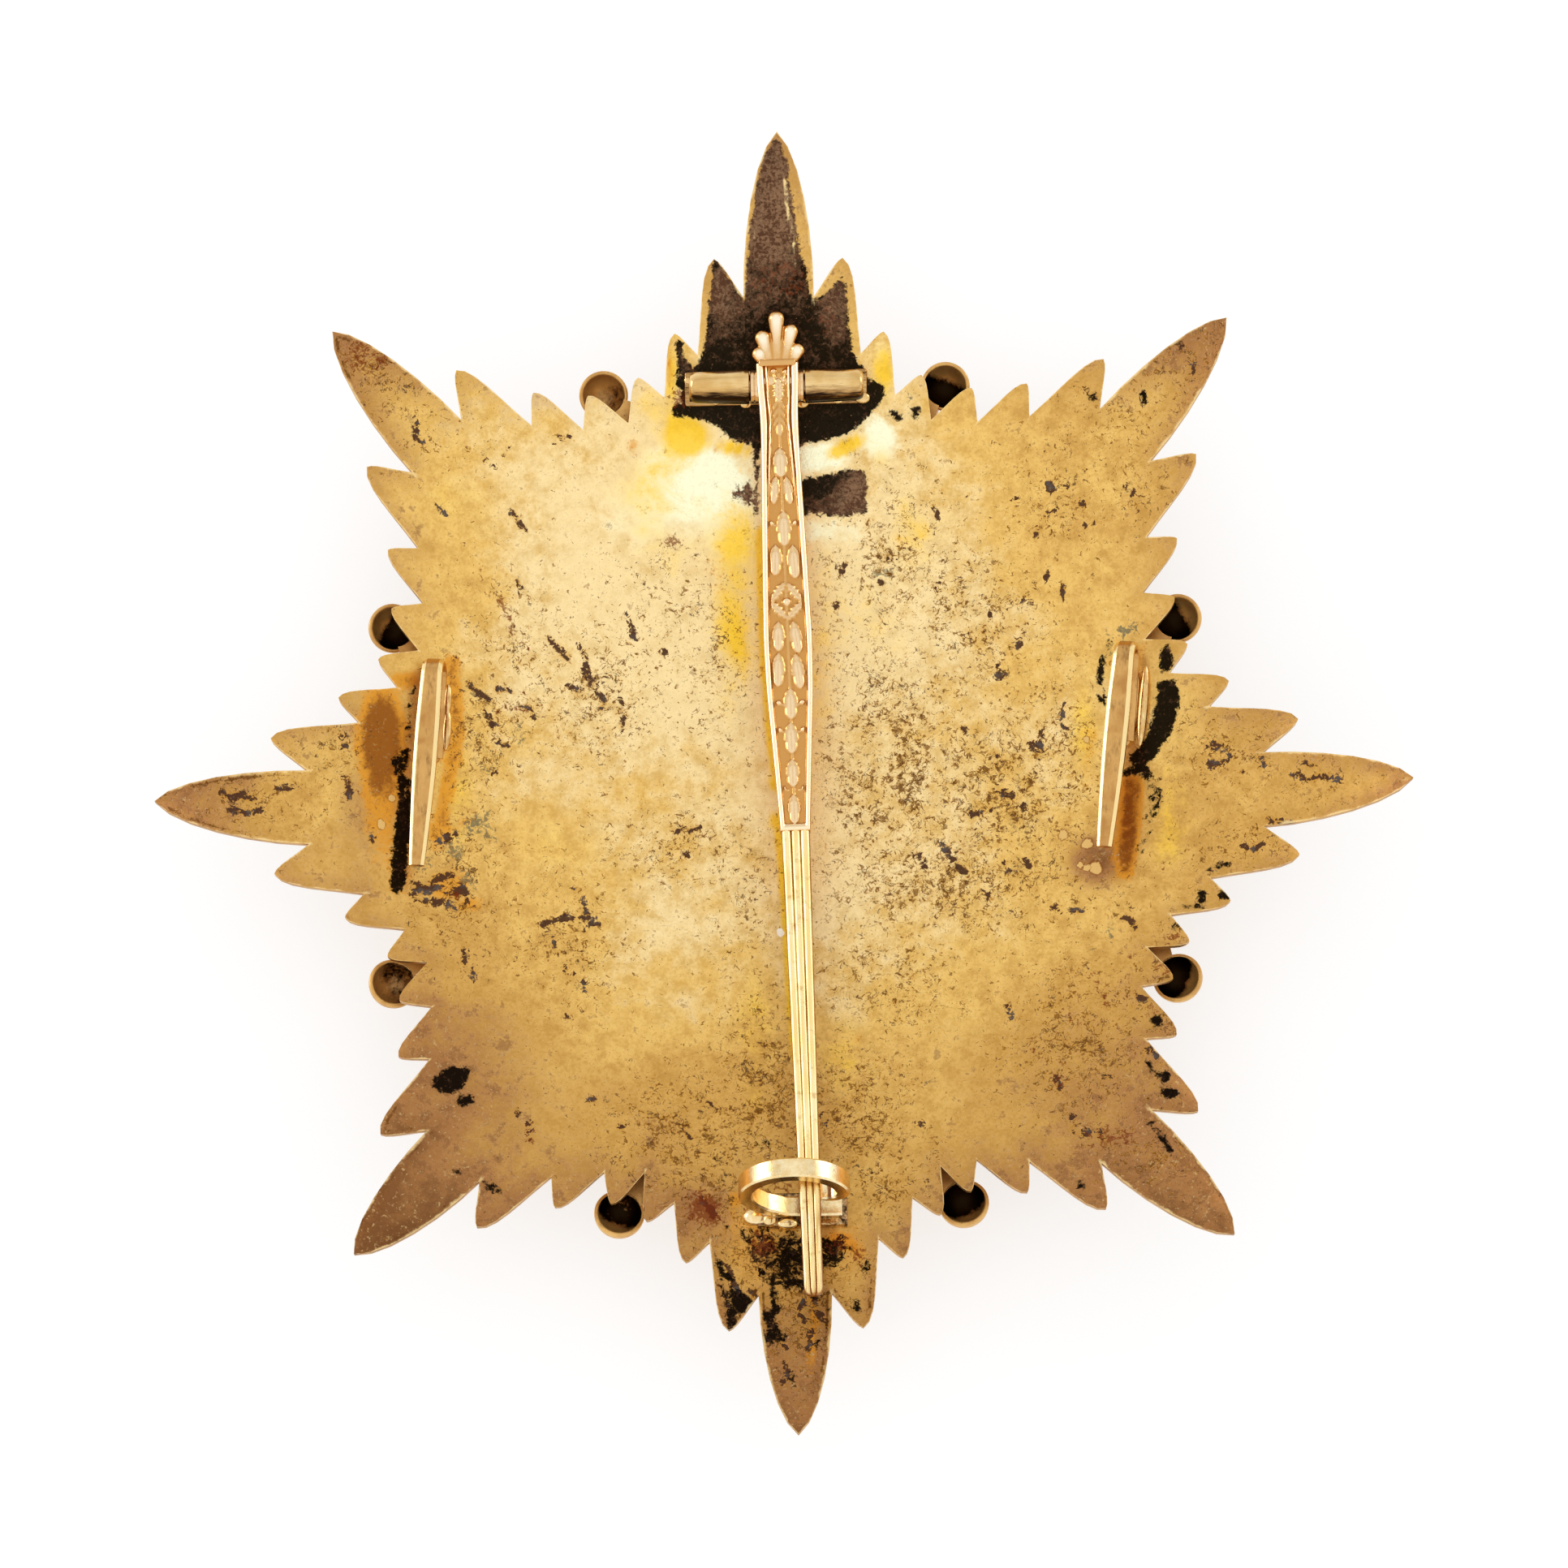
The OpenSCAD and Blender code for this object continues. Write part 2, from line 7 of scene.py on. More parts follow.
# %% Load the frame
import math
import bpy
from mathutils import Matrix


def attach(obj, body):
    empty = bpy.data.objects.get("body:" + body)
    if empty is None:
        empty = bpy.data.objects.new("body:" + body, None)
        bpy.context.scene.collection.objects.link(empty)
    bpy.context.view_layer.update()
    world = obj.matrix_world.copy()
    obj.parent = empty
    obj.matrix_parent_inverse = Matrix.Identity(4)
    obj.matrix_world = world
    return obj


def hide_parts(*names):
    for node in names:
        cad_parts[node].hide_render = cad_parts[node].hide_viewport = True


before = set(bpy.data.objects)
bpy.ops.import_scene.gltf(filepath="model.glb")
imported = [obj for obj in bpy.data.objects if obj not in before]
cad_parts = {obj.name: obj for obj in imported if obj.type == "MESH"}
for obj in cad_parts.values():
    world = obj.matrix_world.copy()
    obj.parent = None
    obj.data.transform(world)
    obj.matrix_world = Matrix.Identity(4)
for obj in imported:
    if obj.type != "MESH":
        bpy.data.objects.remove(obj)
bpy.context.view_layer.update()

from types import SimpleNamespace

import bmesh
import bpy
import numpy as np
from mathutils import Matrix, Vector
from mathutils.kdtree import KDTree

MM = 0.001
scene = bpy.context.scene


# %% [markdown]
# The photograph was taken from above, 13 degrees out of the upright, with the badge turned by about
# one degree. The lens is long, and yet near enough for the raised parts to shift against the plate.
# The camera is made first, because marks on the metal are charted in the photograph's own pixels.

# %% Camera
TILT = math.radians(13)
ROLL = math.radians(-1.05)
AIM = Vector((0, 0, 8.2 * MM))
REACH = 380 * MM
LENS = 128.3
SENSOR = 36.0
PICTURE = 1932
SHIFT_UP = 9.3 / PICTURE

eye = AIM + REACH * Vector((0, -math.sin(TILT), math.cos(TILT)))
turn = Matrix.Rotation(TILT, 4, "X") @ Matrix.Rotation(ROLL, 4, "Z")
camera_data = bpy.data.cameras.new("studio_camera")
camera_data.lens = LENS
camera_data.sensor_width = SENSOR
camera_data.shift_y = SHIFT_UP
camera_data.clip_start = 0.01
camera_data.clip_end = 10
camera = bpy.data.objects.new("studio_camera", camera_data)
camera.matrix_world = Matrix.Translation(eye) @ turn
scene.collection.objects.link(camera)
scene.camera = camera
print("camera stands", round(REACH / MM), "mm away")


def charted(points):
    """Where points in mm come to lie in the photograph, in its pixels."""
    seen = (np.asarray(points, float) * MM - np.array(eye)) @ np.array(turn.to_3x3())
    wide = PICTURE * LENS / SENSOR
    across = seen[:, 0] / -seen[:, 2] * wide + PICTURE / 2
    down = seen[:, 1] / seen[:, 2] * wide + PICTURE / 2 + SHIFT_UP * PICTURE
    return across, down

# %% [markdown]
# Materials and the light are written as sums. A Field stands for one socket, and adding or
# multiplying two of them adds a Math node between them, so a mask reads like the thought behind it.
# Every other node comes from one method of Nodes, which sets what the node is before it fills its
# sockets. Paint is such a set of nodes for a material of the badge.


# %% Shader helpers
class Field:
    """One socket of a node, with arithmetic on it."""

    def __init__(self, nodes, socket):
        self.nodes = nodes
        self.socket = socket

    def maths(self, operation, *values):
        made = self.nodes.node("Math", {"operation": operation}, dict(enumerate(values)))
        return self.nodes.out(made)

    def __add__(self, other):
        return self.maths("ADD", self, other)

    def __sub__(self, other):
        return self.maths("SUBTRACT", self, other)

    def __rsub__(self, other):
        return self.maths("SUBTRACT", other, self)

    def __mul__(self, other):
        return self.maths("MULTIPLY", self, other)

    __radd__ = __add__
    __rmul__ = __mul__

    def most(self, other):
        return self.maths("MAXIMUM", self, other)

    def size(self):
        """How far the value is from 0, without its sign."""
        return self.maths("ABSOLUTE", self)

    def step(self, low, high):
        """0 below low and 1 above high, with a smooth way between."""
        made = self.nodes.node(
            "MapRange", {"interpolation_type": "SMOOTHSTEP"},
            {"Value": self, "From Min": low, "From Max": high})
        return self.nodes.out(made)


class Nodes:
    """The nodes of a material or of the world, made one by one."""

    def __init__(self, tree):
        self.tree = tree
        self.tree.nodes.clear()

    def node(self, kind, settings, sockets):
        made = self.tree.nodes.new("ShaderNode" + kind)
        for name, value in settings.items():
            if name == "stops":
                self.set_stops(made.color_ramp, value)
            else:
                setattr(made, name, value)
        for key, value in sockets.items():
            if isinstance(value, Field):
                value = value.socket
            if isinstance(value, bpy.types.NodeSocket):
                self.tree.links.new(value, made.inputs[key])
            else:
                made.inputs[key].default_value = value
        return made

    def set_stops(self, ramp, stops):
        """A smooth ramp of greys through stops of a place and a brightness."""
        ramp.interpolation = "B_SPLINE"
        while len(ramp.elements) < len(stops):
            ramp.elements.new(0.5)
        for stop, (place, shine) in zip(ramp.elements, stops):
            stop.position = place
            stop.color = (shine, shine, shine, 1)

    def out(self, made, key=0):
        return Field(self, made.outputs[key])


def srgb(red, green, blue):
    """A colour from a screen's 0 to 255 values."""
    def linear(c):
        c /= 255
        return c / 12.92 if c <= 0.04045 else ((c + 0.055) / 1.055) ** 2.4
    return (linear(red), linear(green), linear(blue), 1)


class Paint(Nodes):
    """A material, with the patterns and the finish that the badge's metal needs."""

    def __init__(self, name):
        self.material = bpy.data.materials.new(name)
        self.material.use_nodes = True
        super().__init__(self.material.node_tree)
        self.place = self.node("TexCoord", {}, {}).outputs["Object"]

    def noise(self, scale, detail=3.0, rough=0.55, stretch=(1, 1, 1), shift=(0, 0, 0), turn=(0, 0, 0),
              warp=0.0):
        """Noise in mm: scale is how many waves go into one mm."""
        put = self.node("Mapping", {}, {
            "Vector": self.place, "Location": shift, "Rotation": turn,
            "Scale": tuple(s * scale / MM for s in stretch)})
        made = self.node("TexNoise", {}, {
            "Vector": put.outputs[0], "Scale": 1.0, "Detail": detail, "Roughness": rough, "Distortion": warp})
        return self.out(made)

    def from_point(self, point):
        """Distance in mm from one point."""
        made = self.node("VectorMath", {"operation": "DISTANCE"}, {0: self.place, 1: point})
        return self.out(made, "Value") * (1 / MM)

    def attribute(self, name):
        made = self.node("Attribute", {"attribute_name": name}, {})
        return self.out(made, "Fac")

    def mix(self, share, first, second, blend="MIX"):
        made = self.node("Mix", {"data_type": "RGBA", "blend_type": blend}, {0: share, 6: first, 7: second})
        return self.out(made, 2)

    def finish(self, colour, roughness, metallic, height, depth):
        bump = self.node("Bump", {}, {"Height": height, "Strength": 1.0, "Distance": depth})
        shader = self.node("BsdfPrincipled", {}, {
            "Base Color": colour, "Roughness": roughness, "Metallic": metallic, "Normal": bump.outputs[0]})
        self.node("OutputMaterial", {}, {0: shader.outputs[0]})
        return self.material


print("shader helpers ready")

# %% [markdown]
# A studio for gilt metal is a tent of white cloth. Metal shows what it faces, so the tent isn't the
# same all over: brightest low down, dullest a little over half-way up and bright again overhead. That
# gives thin bright lines along bevels and calmer fields beside them. The cloth is a ramp of greys on
# the height of what the metal faces, and two soft boxes add the longer streaks.

# %% Light
TENT = [(0.0, 1.3), (0.12, 1.2), (0.28, 1.5), (0.42, 1.5), (0.54, 0.85), (0.64, 0.78), (0.76, 1.02),
        (0.88, 1.2), (1.0, 1.28)]
TENT_NORTH = -0.12
TENT_POWER = 1.3
SOFT_BOXES = [("soft_box_left", (-0.95, 0.35, 0.32), 0.5, 2.4),
              ("soft_box_right", (0.95, 0.5, 0.34), 0.4, 1.4)]

world = bpy.data.worlds.new("white_tent")
scene.world = world
world.use_nodes = True
tent = Nodes(world.node_tree)
faced = tent.node("TexCoord", {}, {})
way = tent.node("SeparateXYZ", {}, {0: faced.outputs["Generated"]})
cloth = tent.node("ValToRGB", {"stops": TENT}, {0: way.outputs["Z"]})
shine = tent.out(cloth) * (tent.out(way, "Y") * TENT_NORTH + TENT_POWER)
background = tent.node("Background", {}, {"Strength": shine})
tent.node("OutputWorld", {}, {0: background.outputs[0]})

for name, place, size, power in SOFT_BOXES:
    light = bpy.data.lights.new(name, "AREA")
    light.shape = "SQUARE"
    light.size = size
    light.energy = power
    lamp = bpy.data.objects.new(name, light)
    lamp.location = place
    lamp.rotation_euler = (AIM - Vector(place)).to_track_quat("-Z", "Y").to_euler()
    scene.collection.objects.link(lamp)
scene.view_settings.view_transform = "Standard"
print("soft boxes:", len(SOFT_BOXES))

# %% [markdown]
# The floor is a sheet of white card. It carries the faint shadow under the star and nothing else.

# %% Floor
FLOOR_SIZE = 3.0
bpy.ops.object.select_all(action="DESELECT")
bpy.ops.mesh.primitive_plane_add(size=FLOOR_SIZE, location=(0, 0, 0))
floor = bpy.context.object
floor.name = "white_card"
card = Paint("white_card")
grain = card.noise(0.02)
card_colour = card.mix(grain, (0.42, 0.42, 0.42, 1), (0.44, 0.44, 0.44, 1))
card_shader = card.node("BsdfPrincipled", {}, {
    "Base Color": card_colour, "Roughness": 0.9, "Specular IOR Level": 0.1,
    "Emission Color": (1, 1, 1, 1), "Emission Strength": 0.6})
card.node("OutputMaterial", {}, {0: card_shader.outputs[0]})
floor.data.materials.append(card.material)
print("floor:", FLOOR_SIZE, "m")

# %% [markdown]
# The hollow back of the plate is part of a sphere, and all the fittings stand on it. These few
# numbers are the part's own, and each fitting gets a small frame that sits on the sphere.

# %% The plate's sphere and the frames on it
BOWL_R = 98
BACK_Z = 5.2
BOWL_Z = BACK_Z + BOWL_R
HINGE = Vector((0.08, 27.7, 11.701))
PIN_LEAN = math.radians(1.15)
PIN_RISE = math.radians(2.5)


def back_at(x, y):
    """Height of the hollow back in mm."""
    return BOWL_Z - np.sqrt(BOWL_R ** 2 - x ** 2 - y ** 2)


def on_back(y, rise=0.0):
    """A frame whose floor touches the sphere at y, with its own Z straight out of the plate."""
    lean = math.asin(y / (BOWL_R - rise))
    return (Matrix.Translation((0, 0, BOWL_Z)) @ Matrix.Rotation(lean, 4, "X")
            @ Matrix.Translation((0, 0, -BOWL_R)))


in_pin = Matrix.Translation(HINGE) @ Matrix.Rotation(PIN_LEAN, 4, "Z") @ Matrix.Rotation(-PIN_RISE, 4, "X")
print("back at the hinge:", round(float(back_at(0, HINGE.y)), 2), "mm high")

# %% [markdown]
# Every piece is drawn in millimetres in its own frame and set into place at the end, with its place
# in its mesh. The helpers below do what hands do: pick faces, draw a section out along a path, join
# things, and hang the finished piece on its body.

# %% Modelling helpers
def alone(piece):
    """Only this piece is selected and active."""
    bpy.ops.object.select_all(action="DESELECT")
    piece.select_set(True)
    bpy.context.view_layer.objects.active = piece
    return piece


def edit(piece, mode="VERT"):
    alone(piece)
    bpy.ops.object.mode_set(mode="EDIT")
    bpy.ops.mesh.select_mode(type=mode)


def done():
    bpy.ops.object.mode_set(mode="OBJECT")


def modify(piece, kind, **settings):
    """Adds a modifier and applies it."""
    alone(piece)
    made = piece.modifiers.new(kind.title(), kind)
    for name, value in settings.items():
        setattr(made, name, value)
    bpy.ops.object.modifier_apply(modifier=made.name)


def points_of(piece):
    """A piece's points as an array, in the units it is drawn in."""
    flat = np.empty(len(piece.data.vertices) * 3)
    piece.data.vertices.foreach_get("co", flat)
    return flat.reshape(-1, 3)


def put_points(piece, points):
    piece.data.vertices.foreach_set("co", np.asarray(points, float).ravel())
    piece.data.update()


def values_of(piece, name):
    """What a piece keeps under a name, one value for each point."""
    stored = piece.data.attributes[name].data
    flat = np.empty(len(stored))
    stored.foreach_get("value", flat)
    return flat


def keep_values(piece, name, values):
    """Keeps a value for each point, or the same one for all, for the material to read."""
    stored = piece.data.attributes.get(name) or piece.data.attributes.new(name, "FLOAT", "POINT")
    each = np.broadcast_to(np.asarray(values, np.float32), len(stored.data))
    stored.data.foreach_set("value", np.ascontiguousarray(each))


def named(piece, name):
    piece.name = name
    piece.data.name = name
    return piece


def outwards(piece):
    edit(piece)
    bpy.ops.mesh.select_all(action="SELECT")
    bpy.ops.mesh.normals_make_consistent(inside=False)
    done()


def tidy_shape(piece, angle=40):
    """Normals outwards, and smooth shading over all but the sharp edges."""
    outwards(piece)
    alone(piece)
    bpy.ops.object.shade_smooth_by_angle(angle=math.radians(angle))


def joined(name, first, *others):
    alone(first)
    for other in others:
        other.select_set(True)
    bpy.ops.object.join()
    return named(first, name)


def into_place(piece, where=None):
    """Turns a piece drawn in mm into one in metres at its place in the frame."""
    piece.data.transform(Matrix.Scale(MM, 4) @ (where or Matrix.Identity(4)))
    piece.data.update()
    return piece


def draw_out(name, rings):
    """Draws a closed section out from ring to ring, as extruding by hand does."""
    rings = [np.asarray(ring, float) for ring in rings]
    bpy.ops.object.select_all(action="DESELECT")
    bpy.ops.mesh.primitive_circle_add(vertices=len(rings[0]), fill_type="NGON")
    piece = named(bpy.context.object, name)
    edit(piece)
    bpy.ops.mesh.select_all(action="SELECT")
    mesh = bmesh.from_edit_mesh(piece.data)
    spot = mesh.verts.layers.int.new("spot")
    mesh.verts.ensure_lookup_table()
    for i, point in enumerate(mesh.verts):
        point[spot] = i
        point.co = rings[0][i]
    bmesh.update_edit_mesh(piece.data)
    for ring in rings[1:]:
        bpy.ops.mesh.extrude_region_move()
        mesh = bmesh.from_edit_mesh(piece.data)
        spot = mesh.verts.layers.int["spot"]
        for point in mesh.verts:
            if point.select:
                point.co = ring[point[spot]]
        bmesh.update_edit_mesh(piece.data)
    done()
    return piece


def ball(name, radii, place, segments=24, rings=16):
    bpy.ops.object.select_all(action="DESELECT")
    bpy.ops.mesh.primitive_uv_sphere_add(segments=segments, ring_count=rings, radius=1, location=(0, 0, 0))
    piece = named(bpy.context.object, name)
    put_points(piece, points_of(piece) * np.array(radii) + np.array(place))
    return piece


def block(name, low, high, bevel=0.0, segments=2):
    """A block between two corners, with its edges rounded in edit mode."""
    low, high = np.array(low, float), np.array(high, float)
    bpy.ops.object.select_all(action="DESELECT")
    bpy.ops.mesh.primitive_cube_add(size=1, location=(0, 0, 0))
    piece = named(bpy.context.object, name)
    put_points(piece, (points_of(piece) + 0.5) * (high - low) + low)
    if bevel:
        edit(piece, "EDGE")
        bpy.ops.mesh.select_all(action="SELECT")
        bpy.ops.mesh.bevel(offset=bevel, segments=segments, affect="EDGES")
        done()
    return piece


def hang(piece, body, slot, material, *nodes):
    """Gives a finished piece its material, its body and the solids that it stands for."""
    piece.data.materials.clear()
    piece.data.materials.append(material)
    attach(piece, body)
    if nodes:
        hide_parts(*nodes)
    faces = sum(len(face.vertices) - 2 for face in piece.data.polygons)
    print(piece.name, "has", faces, "triangles")


def copy_of(node, name):
    """A merged copy of a solid, in mm, as a start for a finer piece."""
    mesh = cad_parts[node].data.copy()
    piece = bpy.data.objects.new(name, mesh)
    scene.collection.objects.link(piece)
    put_points(piece, points_of(piece) / MM)
    edit(piece)
    bpy.ops.mesh.customdata_custom_splitnormals_clear()
    bpy.ops.mesh.select_all(action="SELECT")
    bpy.ops.mesh.remove_doubles(threshold=0.002)
    done()
    return named(piece, name)

# %% [markdown]
# The star plate was struck and cut from sheet, then finished with a file. Its solid has flat facets,
# which gilt shows at once. So a copy is divided finely, each point of the back goes onto the true
# sphere, and the V of each ray's back becomes a soft trough. First each point of the back notes how
# deep it lies under the sphere, and whether it is on the plate's edge.

# %% Star plate
BACK_DROP = 0.45
LEAST_TROUGH = 0.01
star = copy_of("star_plate", "star_back_plate")
mesh = bmesh.new()
mesh.from_mesh(star.data)
low = mesh.verts.layers.float.new("low")
trough = mesh.verts.layers.float.new("trough")
edge = mesh.verts.layers.float.new("edge")
back = mesh.verts.layers.float.new("back")
for point in mesh.verts:
    drop = float(back_at(point.co.x, point.co.y)) - point.co.z
    if drop < BACK_DROP:
        point[back] = 1.0
        point[low] = max(0.0, drop)
for point in mesh.verts:
    if not point[back]:
        continue
    beside = [e.other_vert(point) for e in point.link_edges]
    if not all(other[back] for other in beside):
        point[edge] = 1.0
    lows = [other[low] for other in beside if other[low] > LEAST_TROUGH]
    point[trough] = point[low] if point[low] > LEAST_TROUGH else sum(lows) / max(len(lows), 1)
mesh.to_mesh(star.data)
mesh.free()
print("points of the solid plate:", len(star.data.vertices))

# %% [markdown]
# Only the back is in view, so only its faces are divided a second time. The bottom of each trough
# becomes a soft curve in place of the V, as striking leaves it. The rounded edge of the outline comes
# last, as a bevel, because it needs the final shape.

# %% Divide and round the plate
TROUGH_CURVE = 2.2
EDGE_ROUND = 0.11
EDGE_ANGLE = 50

edit(star, "FACE")
bpy.ops.mesh.select_all(action="SELECT")
bpy.ops.mesh.subdivide(number_cuts=1)
mesh = bmesh.from_edit_mesh(star.data)
back = mesh.verts.layers.float["back"]
for face in mesh.faces:
    face.select_set(all(v[back] > 0.99 for v in face.verts))
bmesh.update_edit_mesh(star.data)
bpy.ops.mesh.subdivide(number_cuts=3)
done()

places = points_of(star)
is_back = values_of(star, "back") > 0.99
deep = values_of(star, "trough")
share = np.clip(values_of(star, "low") / np.maximum(deep, 1e-4), 0, 1)
sunk = deep * (1 - (1 - share) ** TROUGH_CURVE)
smooth_z = back_at(places[:, 0], places[:, 1]) - sunk
places[is_back, 2] = smooth_z[is_back]
put_points(star, places)
print("star plate points:", len(places), "deepest trough", round(float(sunk.max()), 2), "mm")

modify(star, "BEVEL", limit_method="ANGLE", angle_limit=math.radians(EDGE_ANGLE), width=EDGE_ROUND,
       segments=2, use_clamp_overlap=True, harden_normals=False)
tidy_shape(star, 38)
places = points_of(star)
print("with rounded edges:", len(star.data.polygons), "faces")

# %% [markdown]
# Tarnish, stains and wear follow the photograph. They are charted as soft spots and strokes in its
# pixels, and every point of the back takes its value where it comes to lie in the picture. Noise in the
# material then breaks up their borders, so the few charted shapes look like many. A painted picture
# could hold finer marks, but lists are easier to change.
# The charts hold painted light as well: glare, bright and dark reflections, highlight streaks and a thin
# shadow along the outline.

# %% Chart the marks on the back
across, down = charted(places)
is_back = values_of(star, "back") > 0.5
outline = places[values_of(star, "edge") > 0.99]
near_edge = KDTree(len(outline))
for n, point in enumerate(outline):
    near_edge.insert(point, n)
near_edge.balance()
rim = np.array([near_edge.find(point)[2] for point in places])


def leaned(dx, dy, lean):
    """Steps across and along something that leans by some degrees."""
    c, s = math.cos(math.radians(lean)), math.sin(math.radians(lean))
    return c * dx + s * dy, c * dy - s * dx


def off_line(x, y, line):
    """How far each x and y is from a line of points."""
    far = np.full(len(x), 1e9)
    for (ax, ay), (bx, by) in zip(line[:-1], line[1:]):
        rx, ry = bx - ax, by - ay
        t = np.clip(((x - ax) * rx + (y - ay) * ry) / max(rx * rx + ry * ry, 1e-9), 0, 1)
        far = np.minimum(far, np.hypot(x - ax - t * rx, y - ay - t * ry))
    return far


def spot_at(x, y, wide, high, lean=0.0):
    """Signed distance in pixels into an oval spot, positive inside."""
    u, v = leaned(across - x, down - y, lean)
    return (1 - np.hypot(u / wide, v / high)) * min(wide, high)


def stroke(width, *line):
    """Signed distance in pixels into a brush stroke along a line of points."""
    return width / 2 - off_line(across, down, line)


def area(*corners):
    """Signed distance in pixels into a shape with straight sides, positive inside."""
    far = off_line(across, down, corners + corners[:1])
    inside = np.zeros(len(across), bool)
    for (ax, ay), (bx, by) in zip(corners, corners[1:] + corners[:1]):
        crossed = (ay > down) != (by > down)
        inside ^= crossed & (across < ax + (down - ay) * (bx - ax) / ((by - ay) or 1.0))
    return np.where(inside, far, -far)


def glow(x, y, wide, high, lean=0.0):
    """A soft round weight from 1 at its middle to 0 far off."""
    u, v = leaned(across - x, down - y, lean)
    return np.exp(-(u / wide) ** 2 - (v / high) ** 2)


def glows(listed):
    """The sum of soft round weights, each one's strength first."""
    return sum(strength * glow(*where) for strength, *where in listed)


def stroke_glows(listed):
    """The sum of soft weights along lines, each one's strength and width first."""
    return sum(strength * np.exp(-(off_line(across, down, line) / width) ** 2)
               for strength, width, *line in listed)


def chart(name, value, elsewhere=0.0):
    """Keeps a value on the back of the plate, and a plain one on its front and sides."""
    keep_values(star, name, np.where(is_back, value, elsewhere))
    print(name, "is", round(float(values_of(star, name)[is_back].mean()), 2), "on average")


def sheet_of(name, soft, spots=(), strokes=(), areas=(), haze=0.0):
    """Joins marks, each one's strength first, on one sheet. A mark's border lies at one half."""
    marks = [(strength, spot_at(*mark)) for strength, *mark in spots]
    marks += [(strength, stroke(*mark)) for strength, *mark in strokes]
    marks += [(strength, area(*mark)) for strength, *mark in areas]
    value = np.zeros(len(across))
    for strength, mark in marks:
        value = np.maximum(value, strength * np.clip(0.5 + mark / (2 * soft), 0, 1))
    chart(name, np.maximum(value, haze))


print("points to chart:", int(is_back.sum()))

# %% [markdown]
# The heat of soldering left nearly black tarnish round the fittings. The same sheet holds painted dark
# reflections: on the north ray and round the hinge, where the hollow gives back the dark camera side,
# and the mirror images of the hooks on the plate beside them. Its large patches are charted by their
# outlines, its threads as strokes and its small patches as spots. A second chart, murk, says where the
# dark is thick: where it is thin, the metal below shows through it.

# %% Dark tarnish and painted dark reflections
SOOT_AND_REFLECTION_AREAS = [
    (1.0, (952, 174), (962, 176), (970, 200), (975, 243), (984, 300), (994, 345), (1000, 366), (1009, 368),
     (1036, 342), (1043, 352), (1045, 400), (1052, 432), (1057, 446), (1062, 454), (1073, 468), (1087, 474),
     (1091, 484), (1084, 497), (1073, 509), (1060, 525), (1041, 536), (1009, 544), (984, 549), (937, 551),
     (911, 547), (899, 538), (886, 525), (870, 519), (851, 516), (831, 513), (826, 506), (838, 494),
     (839, 470), (835, 446), (834, 424), (843, 438), (852, 450), (860, 448), (865, 440), (871, 400),
     (875, 352), (880, 320), (884, 320), (898, 340), (912, 360), (916, 366), (918, 350), (922, 300),
     (930, 243), (940, 196)),
    (1.0, (984, 591), (1053, 578), (1066, 582), (1070, 604), (1068, 630), (1040, 637), (984, 633)),
    (0.62, (903, 594), (936, 589), (936, 626), (896, 620)),
    (1.0, (1427, 838), (1447, 838), (1454, 860), (1448, 890), (1437, 912), (1422, 932), (1414, 942),
     (1426, 960), (1424, 968), (1412, 962), (1394, 945), (1388, 930), (1402, 923), (1415, 903),
     (1422, 880)),
    (0.95, (1430, 800), (1439, 790), (1447, 798), (1445, 820), (1437, 834), (1429, 828)),
    (1.0, (492, 953), (509, 960), (507, 1020), (501, 1075), (496, 1102), (481, 1099), (482, 1060),
     (488, 1000)),
    (0.57, (914, 1520), (945, 1512), (1000, 1514), (1044, 1522), (1050, 1545), (1036, 1562), (1019, 1572),
     (1016, 1592), (1026, 1600), (1024, 1620), (1008, 1612), (996, 1596), (968, 1594), (950, 1576),
     (930, 1562), (914, 1552)),
    (0.74, (896, 1580), (916, 1590), (938, 1606), (930, 1622), (906, 1624), (898, 1606)),
]
SOOT_AND_REFLECTION_STROKES = [
    (1.0, 7, (836, 424), (840, 450), (836, 474)), (0.9, 9, (842, 440), (850, 462)),
    (0.75, 8, (932, 545), (932, 590), (932, 630)),
    (0.86, 9, (1424, 962), (1428, 985), (1421, 1008), (1417, 1030), (1402, 1048)),
    (0.8, 6, (1416, 966), (1412, 990), (1413, 1010)),
    (0.95, 8, (1367, 793), (1358, 812), (1354, 840), (1358, 868)),
    (0.95, 7, (1384, 955), (1392, 948), (1404, 952)),
    (0.95, 6, (512, 838), (505, 870), (500, 930), (494, 950)), (0.9, 5, (1412, 1306), (1420, 1316)),
    (0.95, 7, (1418, 1384), (1432, 1402), (1442, 1420)), (0.95, 6, (1490, 1072), (1512, 1066)),
    (0.9, 5, (1450, 1116), (1480, 1118)), (0.95, 8, (886, 1554), (890, 1568), (900, 1576)),
    (1.0, 13, (946, 1622), (952, 1636), (950, 1648)), (0.85, 12, (952, 1585), (956, 1612), (950, 1630)),
    (0.8, 10, (900, 1512), (925, 1520), (955, 1512)), (0.8, 7, (885, 1560), (892, 1590), (898, 1612)),
]
